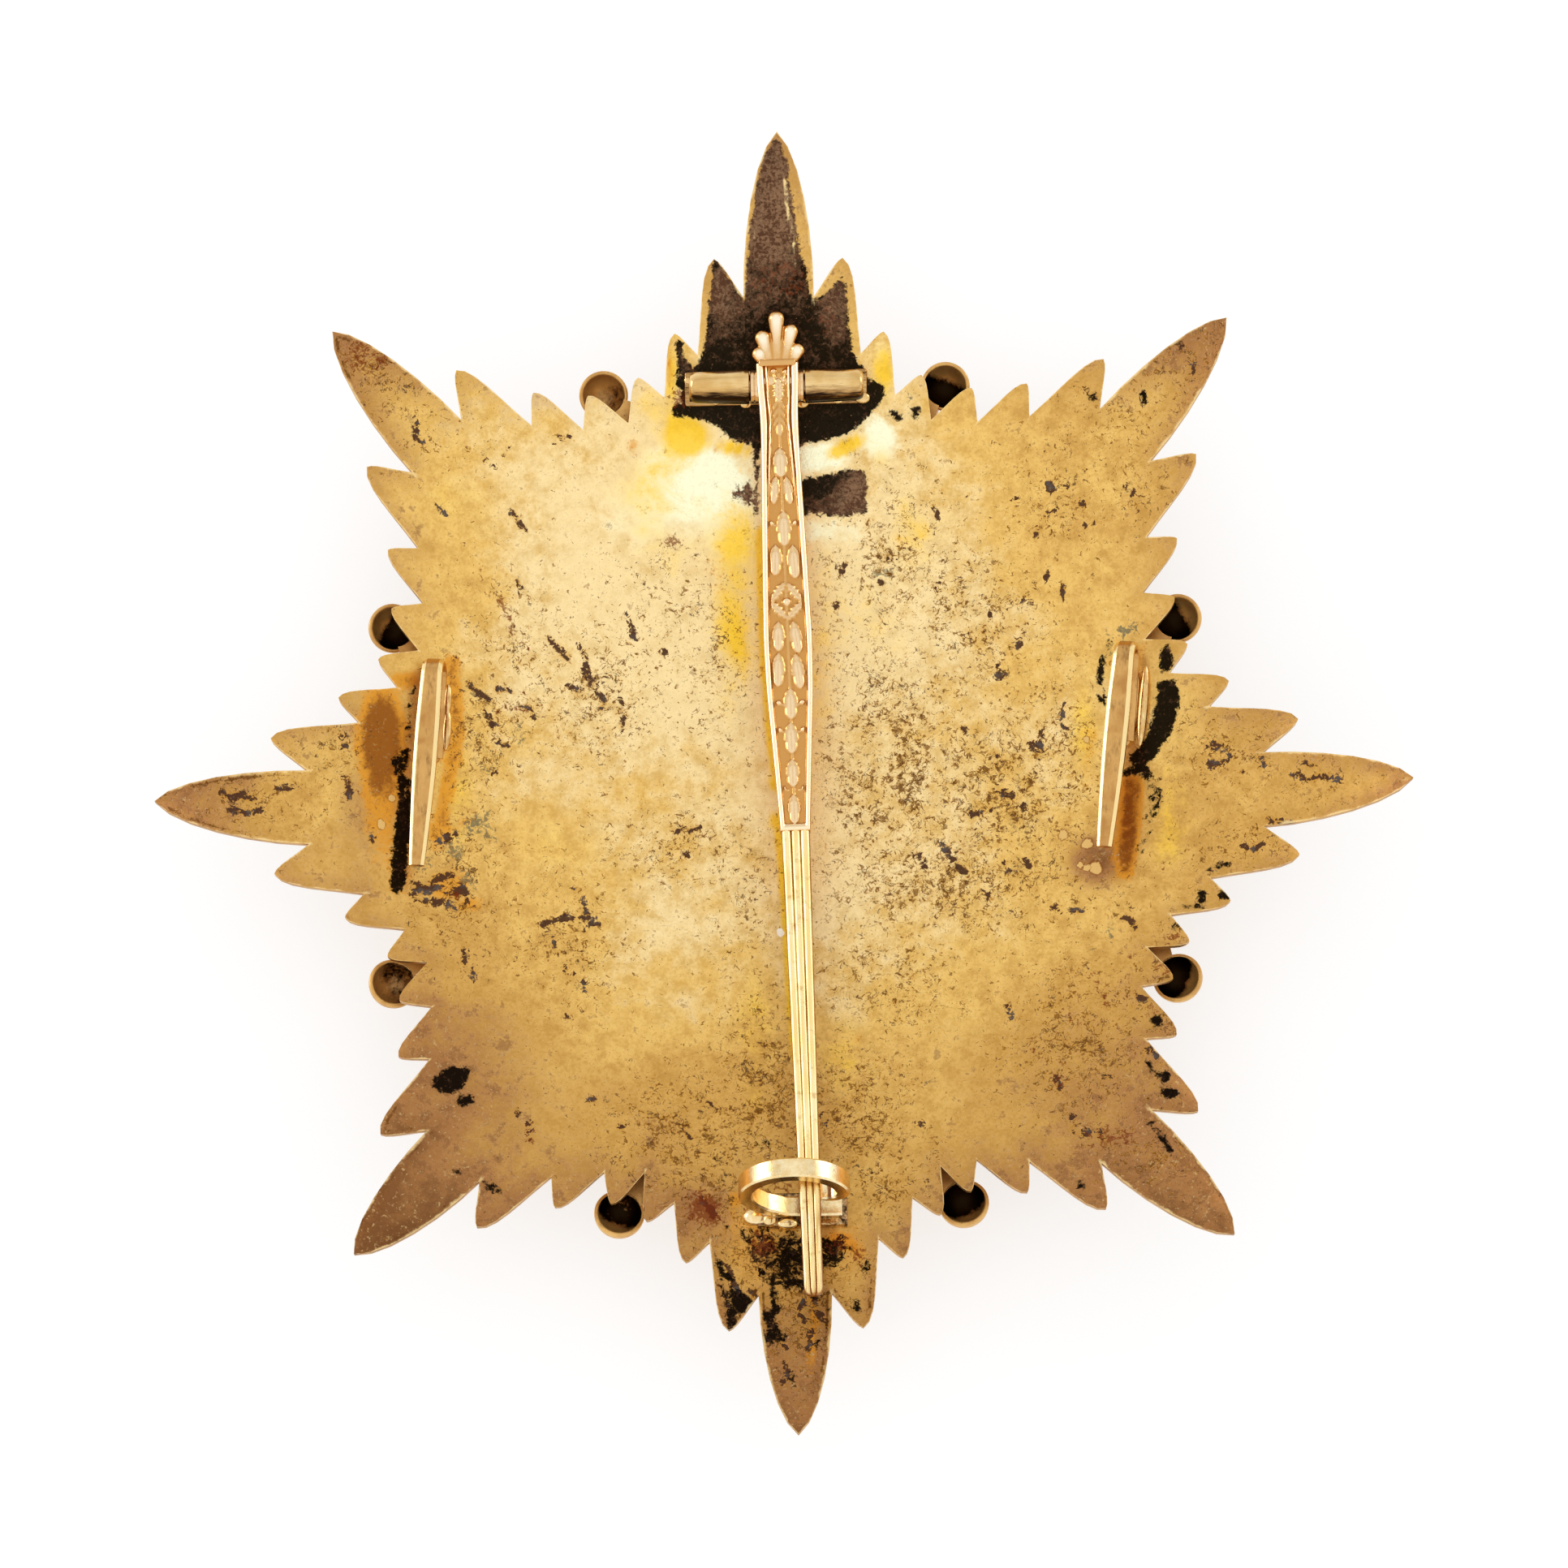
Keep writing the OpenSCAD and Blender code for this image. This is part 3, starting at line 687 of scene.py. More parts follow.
SOOT_AND_REFLECTION_SPOTS = [
    (0.85, 1103, 512, 12, 8), (0.8, 1128, 508, 9, 10), (0.7, 1150, 488, 6, 12), (0.9, 492, 940, 10, 14),
    (0.95, 556, 1331, 25, 15, -22), (0.95, 573, 1357, 13, 9, -10), (0.95, 1433, 1327, 8, 7),
    (0.95, 1438, 1347, 11, 6), (0.9, 1333, 1461, 7, 5), (0.9, 1481, 1103, 6, 10), (0.9, 1509, 1102, 8, 7),
    (0.75, 1452, 1142, 12, 7), (0.8, 1424, 1258, 9, 12), (0.9, 608, 1463, 15, 6, 30),
    (0.9, 562, 1443, 6, 4), (0.55, 893, 1453, 12, 9), (0.5, 942, 1412, 22, 7, -10), (0.85, 1347, 490, 8, 8),
    (0.8, 1410, 488, 5, 11), (0.8, 1370, 584, 8, 5), (0.5, 950, 1408, 28, 9, 10), (0.55, 896, 1452, 13, 9),
    (0.75, 1006, 1585, 10, 20), (0.85, 902, 1622, 8, 18, 10), (0.7, 1055, 1610, 8, 14, -10),
    (0.75, 1030, 1545, 14, 10), (0.7, 985, 1560, 16, 12), (0.7, 940, 1565, 10, 14),
    (0.65, 975, 1700, 8, 14), (0.75, 960, 1650, 9, 12), (0.7, 1006, 1655, 6, 12), (0.65, 1068, 1560, 8, 12),
    (0.6, 887, 1432, 12, 8, 30), (0.55, 1075, 1440, 12, 8),
]
THIN_SOOT = [
    (1.1, 948, 255, 60, 120), (0.55, 885, 375, 24, 60), (0.6, 1030, 380, 24, 50), (0.9, 918, 600, 30, 50),
    (0.5, 935, 1540, 24, 18), (0.4, 1040, 1530, 24, 18), (0.45, 1022, 628, 50, 24),
    (0.7, 1056, 602, 24, 34), (0.4, 905, 604, 22, 30), (0.3, 845, 440, 16, 40),
]
sheet_of("soot", 9, SOOT_AND_REFLECTION_SPOTS, SOOT_AND_REFLECTION_STROKES, SOOT_AND_REFLECTION_AREAS)
chart("murk", np.clip(0.85 - glows(THIN_SOOT), 0, 1))

# %% [markdown]
# Lacquer that shrank and crept has left short dark squiggles all over the back. Each is one stroke of
# the chart, its width first, and a little wider than it looks, because its border is broken up.

# %% Squiggles of dark tarnish
SQUIGGLE_SOFT = 3
INK = [
    (4, (683, 543), (690, 540)), (4, (699, 542), (705, 535)), (4, (620, 558), (625, 555)),
    (3, (601, 567), (606, 571)), (3, (513, 520), (512, 540), (520, 545)), (3, (538, 625), (549, 632)),
    (4, (630, 630), (637, 640)), (3, (645, 650), (648, 655)),
    (4, (715, 797), (722, 812), (718, 830), (731, 838), (735, 852), (744, 862), (741, 872)),
    (4, (676, 785), (682, 795), (690, 800)), (4, (694, 806), (700, 814)), (4, (700, 845), (716, 850)),
    (3, (762, 852), (765, 866)), (4, (766, 872), (768, 900)), (3, (640, 870), (652, 872)),
    (3, (655, 884), (668, 880)), (4, (817, 800), (814, 812), (820, 806)),
    (3, (775, 760), (778, 775), (782, 790)), (4, (637, 718), (641, 726)),
    (5, (577, 843), (590, 855), (600, 860)), (5, (600, 880), (608, 892)), (4, (612, 848), (630, 852)),
    (5, (617, 915), (624, 921)), (5, (606, 946), (612, 956)),
    (4, (571, 1160), (574, 1172), (572, 1185), (582, 1200), (588, 1208)),
    (3, (663, 1140), (680, 1134), (700, 1131), (712, 1132)),
    (4, (709, 1095), (715, 1108), (724, 1126), (738, 1140)), (3, (677, 1152), (684, 1166), (692, 1176)),
    (4, (697, 1190), (704, 1202)), (4, (719, 1208), (724, 1218)), (4, (700, 1250), (706, 1252)),
    (3, (724, 1130), (722, 1150)), (3, (741, 1216), (750, 1222)), (3, (637, 1362), (637, 1378)),
    (4, (653, 1378), (651, 1404)), (4, (725, 1352), (733, 1355)), (3, (763, 1388), (766, 1392)),
    (3, (671, 1341), (674, 1346)), (5, (1291, 596), (1298, 602), (1294, 608)),
    (4, (1311, 602), (1318, 597)), (4, (1324, 615), (1336, 621), (1328, 624)),
    (4, (1291, 632), (1300, 628)), (3, (1336, 648), (1352, 643)), (3, (1249, 614), (1253, 622)),
    (4, (1276, 660), (1281, 650)), (4, (1374, 592), (1384, 604)), (4, (1390, 600), (1402, 612)),
    (4, (1032, 698), (1037, 706), (1040, 697)), (4, (1030, 742), (1031, 752)),
    (4, (1150, 626), (1156, 640)), (4, (1094, 688), (1102, 694)), (4, (1154, 720), (1158, 732)),
    (4, (1084, 716), (1090, 724)), (4, (1286, 704), (1294, 716)), (4, (1308, 722), (1310, 738)),
    (5, (1258, 738), (1268, 742)), (5, (1216, 744), (1224, 758)), (4, (1214, 778), (1224, 784)),
    (4, (1262, 768), (1258, 788), (1254, 798)), (4, (1224, 822), (1230, 834), (1242, 830)),
    (5, (1284, 900), (1280, 914), (1284, 932)), (4, (1312, 868), (1308, 884), (1314, 900)),
    (4, (1270, 916), (1280, 928)), (4, (1180, 895), (1190, 900)), (4, (1224, 930), (1230, 940)),
    (4, (1258, 1000), (1264, 990)), (5, (1228, 972), (1240, 984), (1248, 978)),
    (4, (1196, 1000), (1202, 1012), (1198, 1022)), (4, (1212, 1002), (1220, 996)),
    (4, (1160, 1040), (1168, 1050)), (5, (1174, 1058), (1182, 1070), (1190, 1076)),
    (4, (1238, 1064), (1246, 1078)), (4, (1262, 1056), (1268, 1068)), (4, (1212, 1098), (1220, 1108)),
    (4, (1132, 1052), (1140, 1070)), (3, (1296, 1118), (1306, 1122)), (4, (1320, 1120), (1332, 1122)),
    (4, (1320, 1376), (1326, 1384)), (4, (1322, 1398), (1338, 1396), (1352, 1394), (1362, 1404)),
    (4, (1345, 1380), (1352, 1376)), (4, (1302, 1326), (1306, 1342)), (3, (1243, 1240), (1246, 1252)),
    (3, (1356, 1328), (1374, 1326)), (4, (1486, 924), (1498, 916), (1512, 920), (1520, 932)),
    (4, (1490, 938), (1496, 948), (1504, 940)), (4, (1524, 946), (1530, 952)),
    (5, (1548, 932), (1556, 938)), (4, (1592, 954), (1612, 960), (1630, 956), (1648, 962)),
    (3, (1606, 940), (1620, 944)), (5, (1562, 1010), (1580, 1014), (1598, 1016)),
    (4, (1530, 1040), (1545, 1046), (1556, 1040)), (5, (272, 976), (286, 984), (296, 978), (312, 986)),
    (4, (282, 996), (300, 1002), (322, 998)), (4, (340, 972), (356, 970)),
    (4, (420, 905), (428, 912), (424, 922)), (5, (424, 955), (432, 968), (428, 982)),
    (3, (455, 1028), (460, 1036)), (5, (1408, 1296), (1418, 1292), (1424, 1300)),
    (4, (1400, 1225), (1412, 1232)), (4, (1386, 1130), (1394, 1134), (1400, 1146)),
    (5, (996, 1662), (1000, 1640)), (4, (930, 1560), (940, 1572)), (4, (960, 1650), (968, 1660)),
    (4, (1014, 1620), (1020, 1636)), (3, (1468, 450), (1474, 456), (1466, 462)),
    (4, (1448, 420), (1456, 426)), (4, (842, 1395), (850, 1402)), (4, (868, 1360), (880, 1366)),
    (4, (1012, 1376), (1020, 1384)), (4, (1130, 1383), (1136, 1385)),
    (4, (820, 1020), (840, 1024), (862, 1020)), (3, (826, 1050), (850, 1052), (866, 1058)),
    (3, (818, 1072), (826, 1082)), (7, (514, 1088), (527, 1098), (544, 1091)),
    (7, (538, 1083), (556, 1078)), (6, (526, 1108), (540, 1113)),
    (6, (556, 1101), (572, 1095), (578, 1107)), (5, (508, 1098), (514, 1107)),
    (5, (548, 1112), (560, 1120)), (6, (1552, 933), (1556, 940)),
    (5, (540, 1040), (552, 1032), (566, 1024)), (5, (990, 1600), (986, 1616), (992, 1630)),
    (5, (1002, 1596), (1008, 1620)), (5, (938, 1640), (944, 1652)),
    (5, (896, 1560), (904, 1584), (914, 1600)), (5, (926, 1590), (934, 1600)),
    (4, (966, 1680), (972, 1696), (964, 1704)), (6, (925, 1520), (940, 1528), (955, 1522)),
    (5, (1040, 1524), (1030, 1536)), (5, (864, 1478), (876, 1492), (884, 1506)),
]
sheet_of("ink", 7, strokes=[(1.0, width + SQUIGGLE_SOFT, *line) for width, *line in INK])

# %% [markdown]
# Brown lies over whole regions: tarnish on the tips of the rays and in a thin line along the outline,
# and on the lower half tarnish together with a painted dark reflection. So it is a sum of plain
# gradients and of wide soft weights, which add to it or take from it. A painted shadow lies in a thin
# line just inside parts of the outline. Old lacquer is yellow where it is thin and orange where it has
# run together, and the green is corrosion beside it. One line of yellow and orange beside the bar is a
# painted reflection of the bar.

# %% Brown tarnish, lacquer, green stains and painted shade and reflections
TIPS_FROM, TIPS_WIDE = 27, 15
LOW_FROM, LOW_WIDE = 8, 34
BROWN_GLOWS = [
    (0.45, 1440, 1420, 150, 130), (0.55, 500, 1470, 120, 110), (0.1, 985, 1680, 40, 80),
    (1.5, 1352, 1060, 34, 32), (0.3, 230, 985, 80, 40), (0.25, 1500, 930, 60, 60),
    (0.3, 1330, 1300, 90, 90), (0.25, 1480, 420, 60, 60), (0.15, 420, 420, 60, 60),
    (0.3, 820, 1405, 40, 40), (0.35, 560, 1290, 90, 90), (0.3, 450, 985, 40, 110), (0.6, 870, 1485, 50, 36),
    (-0.3, 1540, 980, 130, 60), (-0.3, 640, 560, 110, 70), (-0.5, 360, 990, 40, 60),
    (-0.4, 835, 470, 40, 60), (-0.4, 1080, 460, 40, 60), (-0.25, 955, 340, 90, 160),
    (0.35, 430, 1500, 90, 90), (0.3, 600, 1330, 110, 90), (0.3, 450, 1000, 40, 60),
    (-0.45, 925, 1570, 60, 50), (-0.4, 1050, 1590, 40, 50), (-0.3, 1250, 560, 160, 120),
]
EDGE_SHADE_GLOWS = [
    (0.55, 1440, 1190, 70, 190), (0.7, 1500, 930, 110, 60), (0.8, 300, 985, 160, 90),
    (0.7, 420, 450, 90, 90), (0.9, 985, 1600, 110, 130), (0.6, 500, 1450, 150, 150),
]
YELLOW_GLOWS = [
    (1.2, 846, 536, 26, 24), (0.9, 905, 552, 26, 9), (1.1, 1042, 551, 26, 9, -25), (0.6, 828, 460, 10, 40),
    (0.7, 1088, 456, 18, 44), (0.4, 1440, 1010, 30, 80), (0.45, 806, 600, 50, 60), (0.55, 905, 660, 36, 60),
    (0.62, 905, 780, 32, 90), (0.45, 802, 500, 26, 26), (0.3, 690, 1040, 90, 60),
    (0.35, 930, 1260, 30, 120), (0.3, 1040, 1300, 40, 60), (0.5, 1335, 900, 24, 70),
    (0.25, 1120, 660, 30, 60), (0.4, 1086, 560, 20, 20), (0.3, 570, 620, 70, 60), (0.2, 1150, 650, 60, 60),
    (0.4, 560, 960, 30, 70), (0.4, 1012, 850, 26, 170), (0.3, 1080, 760, 40, 60), (0.25, 820, 690, 50, 50),
]
# A painted reflection of the pin's bar in the plate: a line of yellow beside the bar.
BAR_REFLECTION_LINE = (0.8, 7, (940, 660), (941, 760), (945, 850),
               (953, 950), (960, 1030), (966, 1100), (975, 1230), (980, 1300))
LACQUER_AREAS = [
    (1.15, (1382, 955), (1409, 958), (1403, 1030), (1395, 1082), (1374, 1082), (1377, 1010)),
    (0.3, (1297, 1004), (1322, 1018), (1352, 1020), (1374, 1010), (1376, 1074), (1396, 1070), (1398, 1092),
     (1370, 1099), (1338, 1096), (1328, 1072), (1308, 1046)),
]
LACQUER_STROKES = [
    (1.0, 8, (484, 1096), (487, 1020), (494, 965)), (0.8, 5, (511, 1020), (504, 1076), (499, 1100)),
    (1.15, 15, (556, 818), (560, 860), (563, 900), (558, 935), (552, 965), (545, 1005), (538, 1030)),
    (1.0, 7, (562, 905), (560, 950), (552, 985)),
    (0.9, 6, (536, 1008), (540, 1036), (552, 1030), (566, 1016), (580, 1010)),
    (0.6, 10, (1424, 765), (1400, 785), (1372, 790)),
    # The orange part of the same painted reflection of the pin's bar.
    (0.6, 7, (935, 650), (936, 760), (940, 850), (948, 950), (955, 1030), (961, 1100), (970, 1230),
     (975, 1300), (982, 1415)),
    (1.0, 9, (1000, 1662), (1004, 1620), (1000, 1598)), (0.7, 9, (824, 430), (826, 470)),
    (0.55, 12, (1394, 800), (1412, 796), (1440, 806)),
]
LACQUER_SPOTS = [
    (0.9, 500, 838, 22, 12), (1.0, 562, 828, 6, 8), (0.6, 552, 1090, 34, 26, -10),
    (0.75, 575, 1115, 22, 12), (0.5, 540, 1030, 20, 30), (0.7, 1366, 812, 8, 14), (0.58, 780, 553, 14, 15),
    (0.5, 858, 540, 10, 14), (0.9, 880, 553, 5, 5), (0.5, 1050, 546, 12, 6, -30), (0.36, 885, 705, 30, 50),
    (0.36, 1112, 660, 20, 46), (0.6, 1060, 1278, 14, 12), (0.85, 905, 1482, 9, 18),
    (0.8, 1000, 1650, 8, 40), (0.6, 1370, 470, 12, 10), (0.45, 1435, 400, 30, 20),
    (0.85, 945, 1536, 26, 14), (0.8, 1034, 1530, 24, 16), (0.6, 1060, 1545, 12, 24),
]
LACQUER_HAZE = [
    (1.2, 470, 905, 32, 66), (0.55, 470, 1010, 30, 100), (0.46, 1342, 930, 28, 70),
]
GREEN_SPOTS = [
    (0.85, 587, 1014, 26, 14, -40), (0.8, 605, 1030, 10, 22), (0.6, 560, 1048, 24, 26),
    (0.8, 520, 1060, 14, 16), (0.75, 575, 1085, 16, 22), (0.6, 600, 950, 34, 16, 60),
    (0.7, 595, 860, 26, 12, 40), (0.9, 1388, 777, 19, 10, -20), (0.7, 1365, 812, 8, 20),
    (0.6, 1180, 1072, 34, 16, 20), (0.65, 1250, 1072, 30, 14), (0.65, 1234, 976, 24, 14),
    (0.5, 1260, 1012, 30, 40), (0.6, 1090, 706, 26, 22), (0.8, 1370, 1147, 10, 14), (0.8, 1343, 1170, 9, 6),
    (0.6, 516, 532, 22, 14, 20), (0.7, 556, 535, 12, 6), (0.6, 544, 628, 14, 10), (0.55, 940, 400, 70, 40),
    (0.6, 1420, 1046, 10, 30), (0.5, 640, 905, 22, 36), (0.42, 1090, 940, 46, 40),
    (0.55, 1143, 1334, 36, 12), (0.4, 1045, 1330, 30, 50), (0.6, 1390, 608, 16, 12),
    (0.6, 1120, 490, 16, 12),
]
radius = np.hypot(places[:, 0], places[:, 1] * 0.95)
tips = np.clip((radius - TIPS_FROM) / TIPS_WIDE, 0, 1)
# The lower half is browner: tarnish together with a painted dark reflection.
lower_tarnish_and_reflection = np.clip((-places[:, 1] - LOW_FROM) / LOW_WIDE, 0, 1)
by_edge = np.exp(-(rim / 1.5) ** 2)
brown = 0.46 * tips + 0.4 * lower_tarnish_and_reflection + 0.34 * by_edge + glows(BROWN_GLOWS)
chart("brown", np.clip(brown, 0, 1.8), 0.6)
# A painted shadow in a thin line just inside parts of the outline.
chart("seam", np.exp(-((rim - 0.3) / 0.22) ** 2) * np.clip(glows(EDGE_SHADE_GLOWS), 0, 1))
# The yellow sheet also holds the painted reflection of the bar.
chart("yellow", np.clip(glows(YELLOW_GLOWS) + stroke_glows([BAR_REFLECTION_LINE]), 0, 1))
sheet_of("lacquer", 14, LACQUER_SPOTS, LACQUER_STROKES, LACQUER_AREAS, glows(LACQUER_HAZE))
sheet_of("green", 16, GREEN_SPOTS)

# %% [markdown]
# Fine dark flecks are too many to chart one by one. The chart only says where they crowd, and noise in
# the material strews them. Rust-red marks are charted like the lacquer. Glare is a painted highlight
# where the hollow gives back the studio light, and tone says where the gilding is pale, in part as a
# painted bright reflection. Streaks are bright lines: painted highlights on the north ray, and bright
# streaks by the hinge.

# %% Flecks, rust-red marks and glare
FLECK_SPOTS = [
    (0.8, 735, 855, 80, 70), (0.95, 885, 815, 20, 60), (0.8, 1100, 690, 60, 90), (0.62, 840, 740, 70, 60),
    (0.72, 1200, 760, 90, 90), (0.9, 1290, 910, 50, 80), (0.66, 1300, 610, 60, 60),
    (0.85, 1240, 970, 110, 90), (0.88, 1100, 960, 90, 150), (0.95, 1180, 1085, 150, 60),
    (0.85, 847, 1040, 70, 40), (0.9, 920, 1090, 20, 50), (0.95, 850, 1400, 90, 70),
    (0.95, 945, 1350, 60, 110), (0.9, 1060, 1380, 70, 80), (0.85, 1330, 1290, 80, 100),
    (0.85, 1090, 1450, 60, 50), (0.6, 630, 790, 60, 70), (0.6, 530, 545, 50, 30), (0.7, 1420, 600, 40, 40),
    (0.72, 700, 1150, 60, 70), (0.9, 300, 980, 70, 40), (0.9, 1500, 920, 46, 40), (0.7, 1630, 965, 70, 30),
    (0.85, 1540, 1045, 50, 24), (0.8, 565, 1090, 50, 90), (1.0, 990, 1600, 60, 90),
    (0.7, 1420, 1420, 90, 60), (0.75, 470, 460, 70, 60), (0.8, 1445, 1250, 50, 90),
    (0.7, 1090, 1200, 90, 70), (0.8, 1460, 440, 70, 60), (0.75, 1380, 520, 50, 50),
    (0.85, 1075, 860, 50, 60), (0.7, 1020, 780, 30, 160), (0.95, 880, 1470, 60, 50),
    (0.9, 910, 1600, 30, 40), (0.9, 1060, 1590, 30, 40), (0.7, 415, 910, 40, 60), (0.85, 590, 900, 50, 80),
    (1.0, 960, 1640, 60, 60), (1.0, 945, 1545, 70, 50),
]
RUST_STROKES = [
    (0.9, 8, (606, 728), (618, 740), (624, 756)), (0.9, 11, (620, 744), (628, 764), (632, 782)),
    (0.85, 7, (632, 782), (640, 790), (652, 800)), (0.8, 5, (587, 700), (602, 724)),
    (0.9, 7, (1345, 1198), (1354, 1220), (1366, 1240)), (0.85, 6, (1310, 1240), (1322, 1256), (1338, 1272)),
    (0.9, 7, (1272, 1284), (1280, 1302)), (0.9, 6, (1296, 1305), (1316, 1312), (1324, 1310)),
]
RUST_SPOTS = [
    (0.9, 1303, 1334, 7, 12), (0.8, 1222, 1306, 6, 4), (0.9, 1235, 1222, 4, 4),
    (0.8, 1450, 1152, 16, 8, -20), (0.75, 1436, 1196, 12, 14), (0.8, 1418, 1246, 8, 12),
    (0.7, 1396, 1172, 10, 8), (0.4, 785, 535, 14, 12), (0.7, 431, 962, 8, 16), (0.5, 640, 870, 40, 20),
    (0.6, 1370, 1400, 40, 20), (0.95, 836, 492, 14, 12), (0.5, 960, 1480, 60, 40), (0.5, 556, 1100, 26, 20),
    (0.9, 653, 1392, 5, 18), (0.74, 870, 1490, 32, 24, 30), (0.75, 830, 668, 18, 14),
    (0.85, 938, 1536, 20, 15), (0.85, 1034, 1534, 16, 13), (0.7, 1058, 1548, 12, 18),
    (0.5, 545, 1086, 14, 14), (0.55, 450, 440, 40, 30), (0.7, 1405, 905, 8, 40), (0.5, 960, 345, 60, 30),
    (0.4, 1015, 400, 30, 40), (0.7, 1294, 632, 8, 6),
]
# Painted highlights where the hollow gives back the studio light.
PAINTED_GLARE_GLOWS = [
    (1.0, 838, 585, 44, 46, 20), (0.9, 885, 590, 40, 34, 30), (1.1, 1008, 564, 38, 18, -6),
    (0.55, 905, 668, 40, 60), (0.2, 828, 440, 8, 40), (0.5, 1086, 436, 12, 30),
    (0.9, 1084, 540, 24, 30, -20), (0.5, 1020, 655, 60, 20), (0.4, 800, 640, 70, 60),
]
# Tone: paler and darker gilding over wide regions, in part a painted bright reflection in the middle of the
# hollow.
TONE_AND_SHEEN_GLOWS = [
    (0.9, 780, 800, 300, 330), (0.6, 1180, 780, 260, 300), (0.5, 860, 560, 330, 160),
    (0.4, 1050, 1130, 260, 220), (0.25, 820, 1180, 200, 160), (-0.25, 600, 1280, 150, 160),
    (0.15, 955, 340, 90, 170), (0.5, 1090, 440, 30, 60), (0.6, 1012, 830, 22, 190),
    (-0.1, 1270, 620, 150, 120), (-0.2, 1300, 1280, 160, 120), (-0.2, 880, 1400, 200, 80),
]
BRIGHT_STREAKS = [
    # The first three are painted highlights along the north ray, the rest bright streaks by the hinge.
    (1.0, 3, (967, 220), (971, 262), (977, 300)), (0.6, 2, (977, 300), (981, 330)),
    (0.6, 2, (937, 250), (929, 296)),
    (0.5, 2, (901, 556), (914, 576), (906, 596), (921, 590), (927, 570), (915, 558)),
    (0.5, 2, (908, 627), (936, 633)), (0.5, 2, (902, 583), (920, 578)),
]
sheet_of("fleck", 60, FLECK_SPOTS)
sheet_of("rust", 14, RUST_SPOTS, RUST_STROKES)
chart("glare", np.clip(glows(PAINTED_GLARE_GLOWS), 0, 1))
chart("tone", np.clip(glows(TONE_AND_SHEEN_GLOWS), 0, 1), 0.3)
chart("streak", np.clip(stroke_glows(BRIGHT_STREAKS), 0, 1))

# %% [markdown]
# A few small round spots have a sharp ring. Their size matters more than their outline, so they are
# kept as a place, a radius in mm and whether they are white, and the material measures the distance.

# %% Round spots where the gilding is bare
SPOTS = [(1340, 1037, 0.36, False), (1350, 1068, 0.4, False), (1313, 1032, 0.26, False),
         (1330, 1066, 0.2, False), (1341, 908, 0.22, False), (1341, 1072, 0.16, False),
         (480, 982, 0.2, False), (476, 1016, 0.24, False), (962, 1160, 0.2, True)]
spots = []
for x, y, r, white in SPOTS:
    nearest = np.argmin(np.hypot(across - x, down - y) + 1e6 * ~is_back)
    spots.append((tuple(places[nearest] * MM), r, white))
print("round spots:", len(spots))

# %% [markdown]
# The plate's finish is fire gilding over silver: pale where it is clean, olive and brown where it has
# tarnished, nearly black where soldering burnt it. Painted light lies in it too: glare and bright
# reflections, dark reflections of the camera side and of the fittings, and a thin shadow along the
# outline. Colour, roughness and the share of bare metal all read the charted sheets, and fine noise gives
# the mottled bloom and the scratches of polishing. The steps below lie over each other in the order in
# which the metal got them.

# %% Colours and patterns of the plate
PALE = srgb(255, 228, 168)
GOLD = srgb(243, 200, 114)
OLIVE = srgb(222, 174, 94)
BROWN = srgb(184, 132, 82)
DEEP = srgb(130, 86, 50)
DARK = srgb(100, 58, 10)
HALO = srgb(206, 146, 54)
BLACK = srgb(16, 9, 4)
SOOT = srgb(84, 54, 38)
ASH = srgb(142, 108, 80)
AMBER = srgb(224, 150, 42)
LACQUER = srgb(136, 74, 26)
RUST = srgb(120, 48, 18)
GREEN = srgb(84, 92, 78)
PAINTED_GLARE_COLOUR = srgb(255, 252, 214)
YELLOW = srgb(255, 206, 30)
INKY = srgb(70, 44, 36)
BLUE_GREY = srgb(76, 72, 72)
EDGE = srgb(255, 224, 158)
BARE = srgb(226, 184, 112)
WHITE = srgb(255, 246, 226)
SHADE = (0.52, 0.4, 0.2, 1)


def plate_patterns(p):
    """The noises of the plate, from wide to fine, with room for the masks that several steps share."""
    return SimpleNamespace(
        bloom=p.noise(0.09, 4, 0.6),
        patch=p.noise(0.3, 5, 0.7, shift=(4, 1, 8), warp=0.5),
        mottle=p.noise(0.9, 4, 0.65, shift=(3, 7, 1)),
        grain=p.noise(4.5, 3, 0.6),
        specks=p.noise(2.4, 5, 0.7, shift=(9, 2, 5), warp=0.8),
        ragged=p.noise(2.6, 4, 0.7, shift=(1, 5, 2), warp=0.8),
        curl=p.noise(0.9, 3, 0.6, shift=(6, 6, 3), warp=1.2),
        crowd=p.noise(0.8, 3, 0.6, shift=(2, 9, 7)))


print("colours and patterns of the plate are ready")

# %% [markdown]
# The gilding itself comes first: three tones of gold, the palest partly a painted bright reflection, brown
# where air has reached it and where a dark reflection is painted, and painted glare where the hollow gives
# back the light. Clouds of shade and small blotches keep any part of it from looking flat.


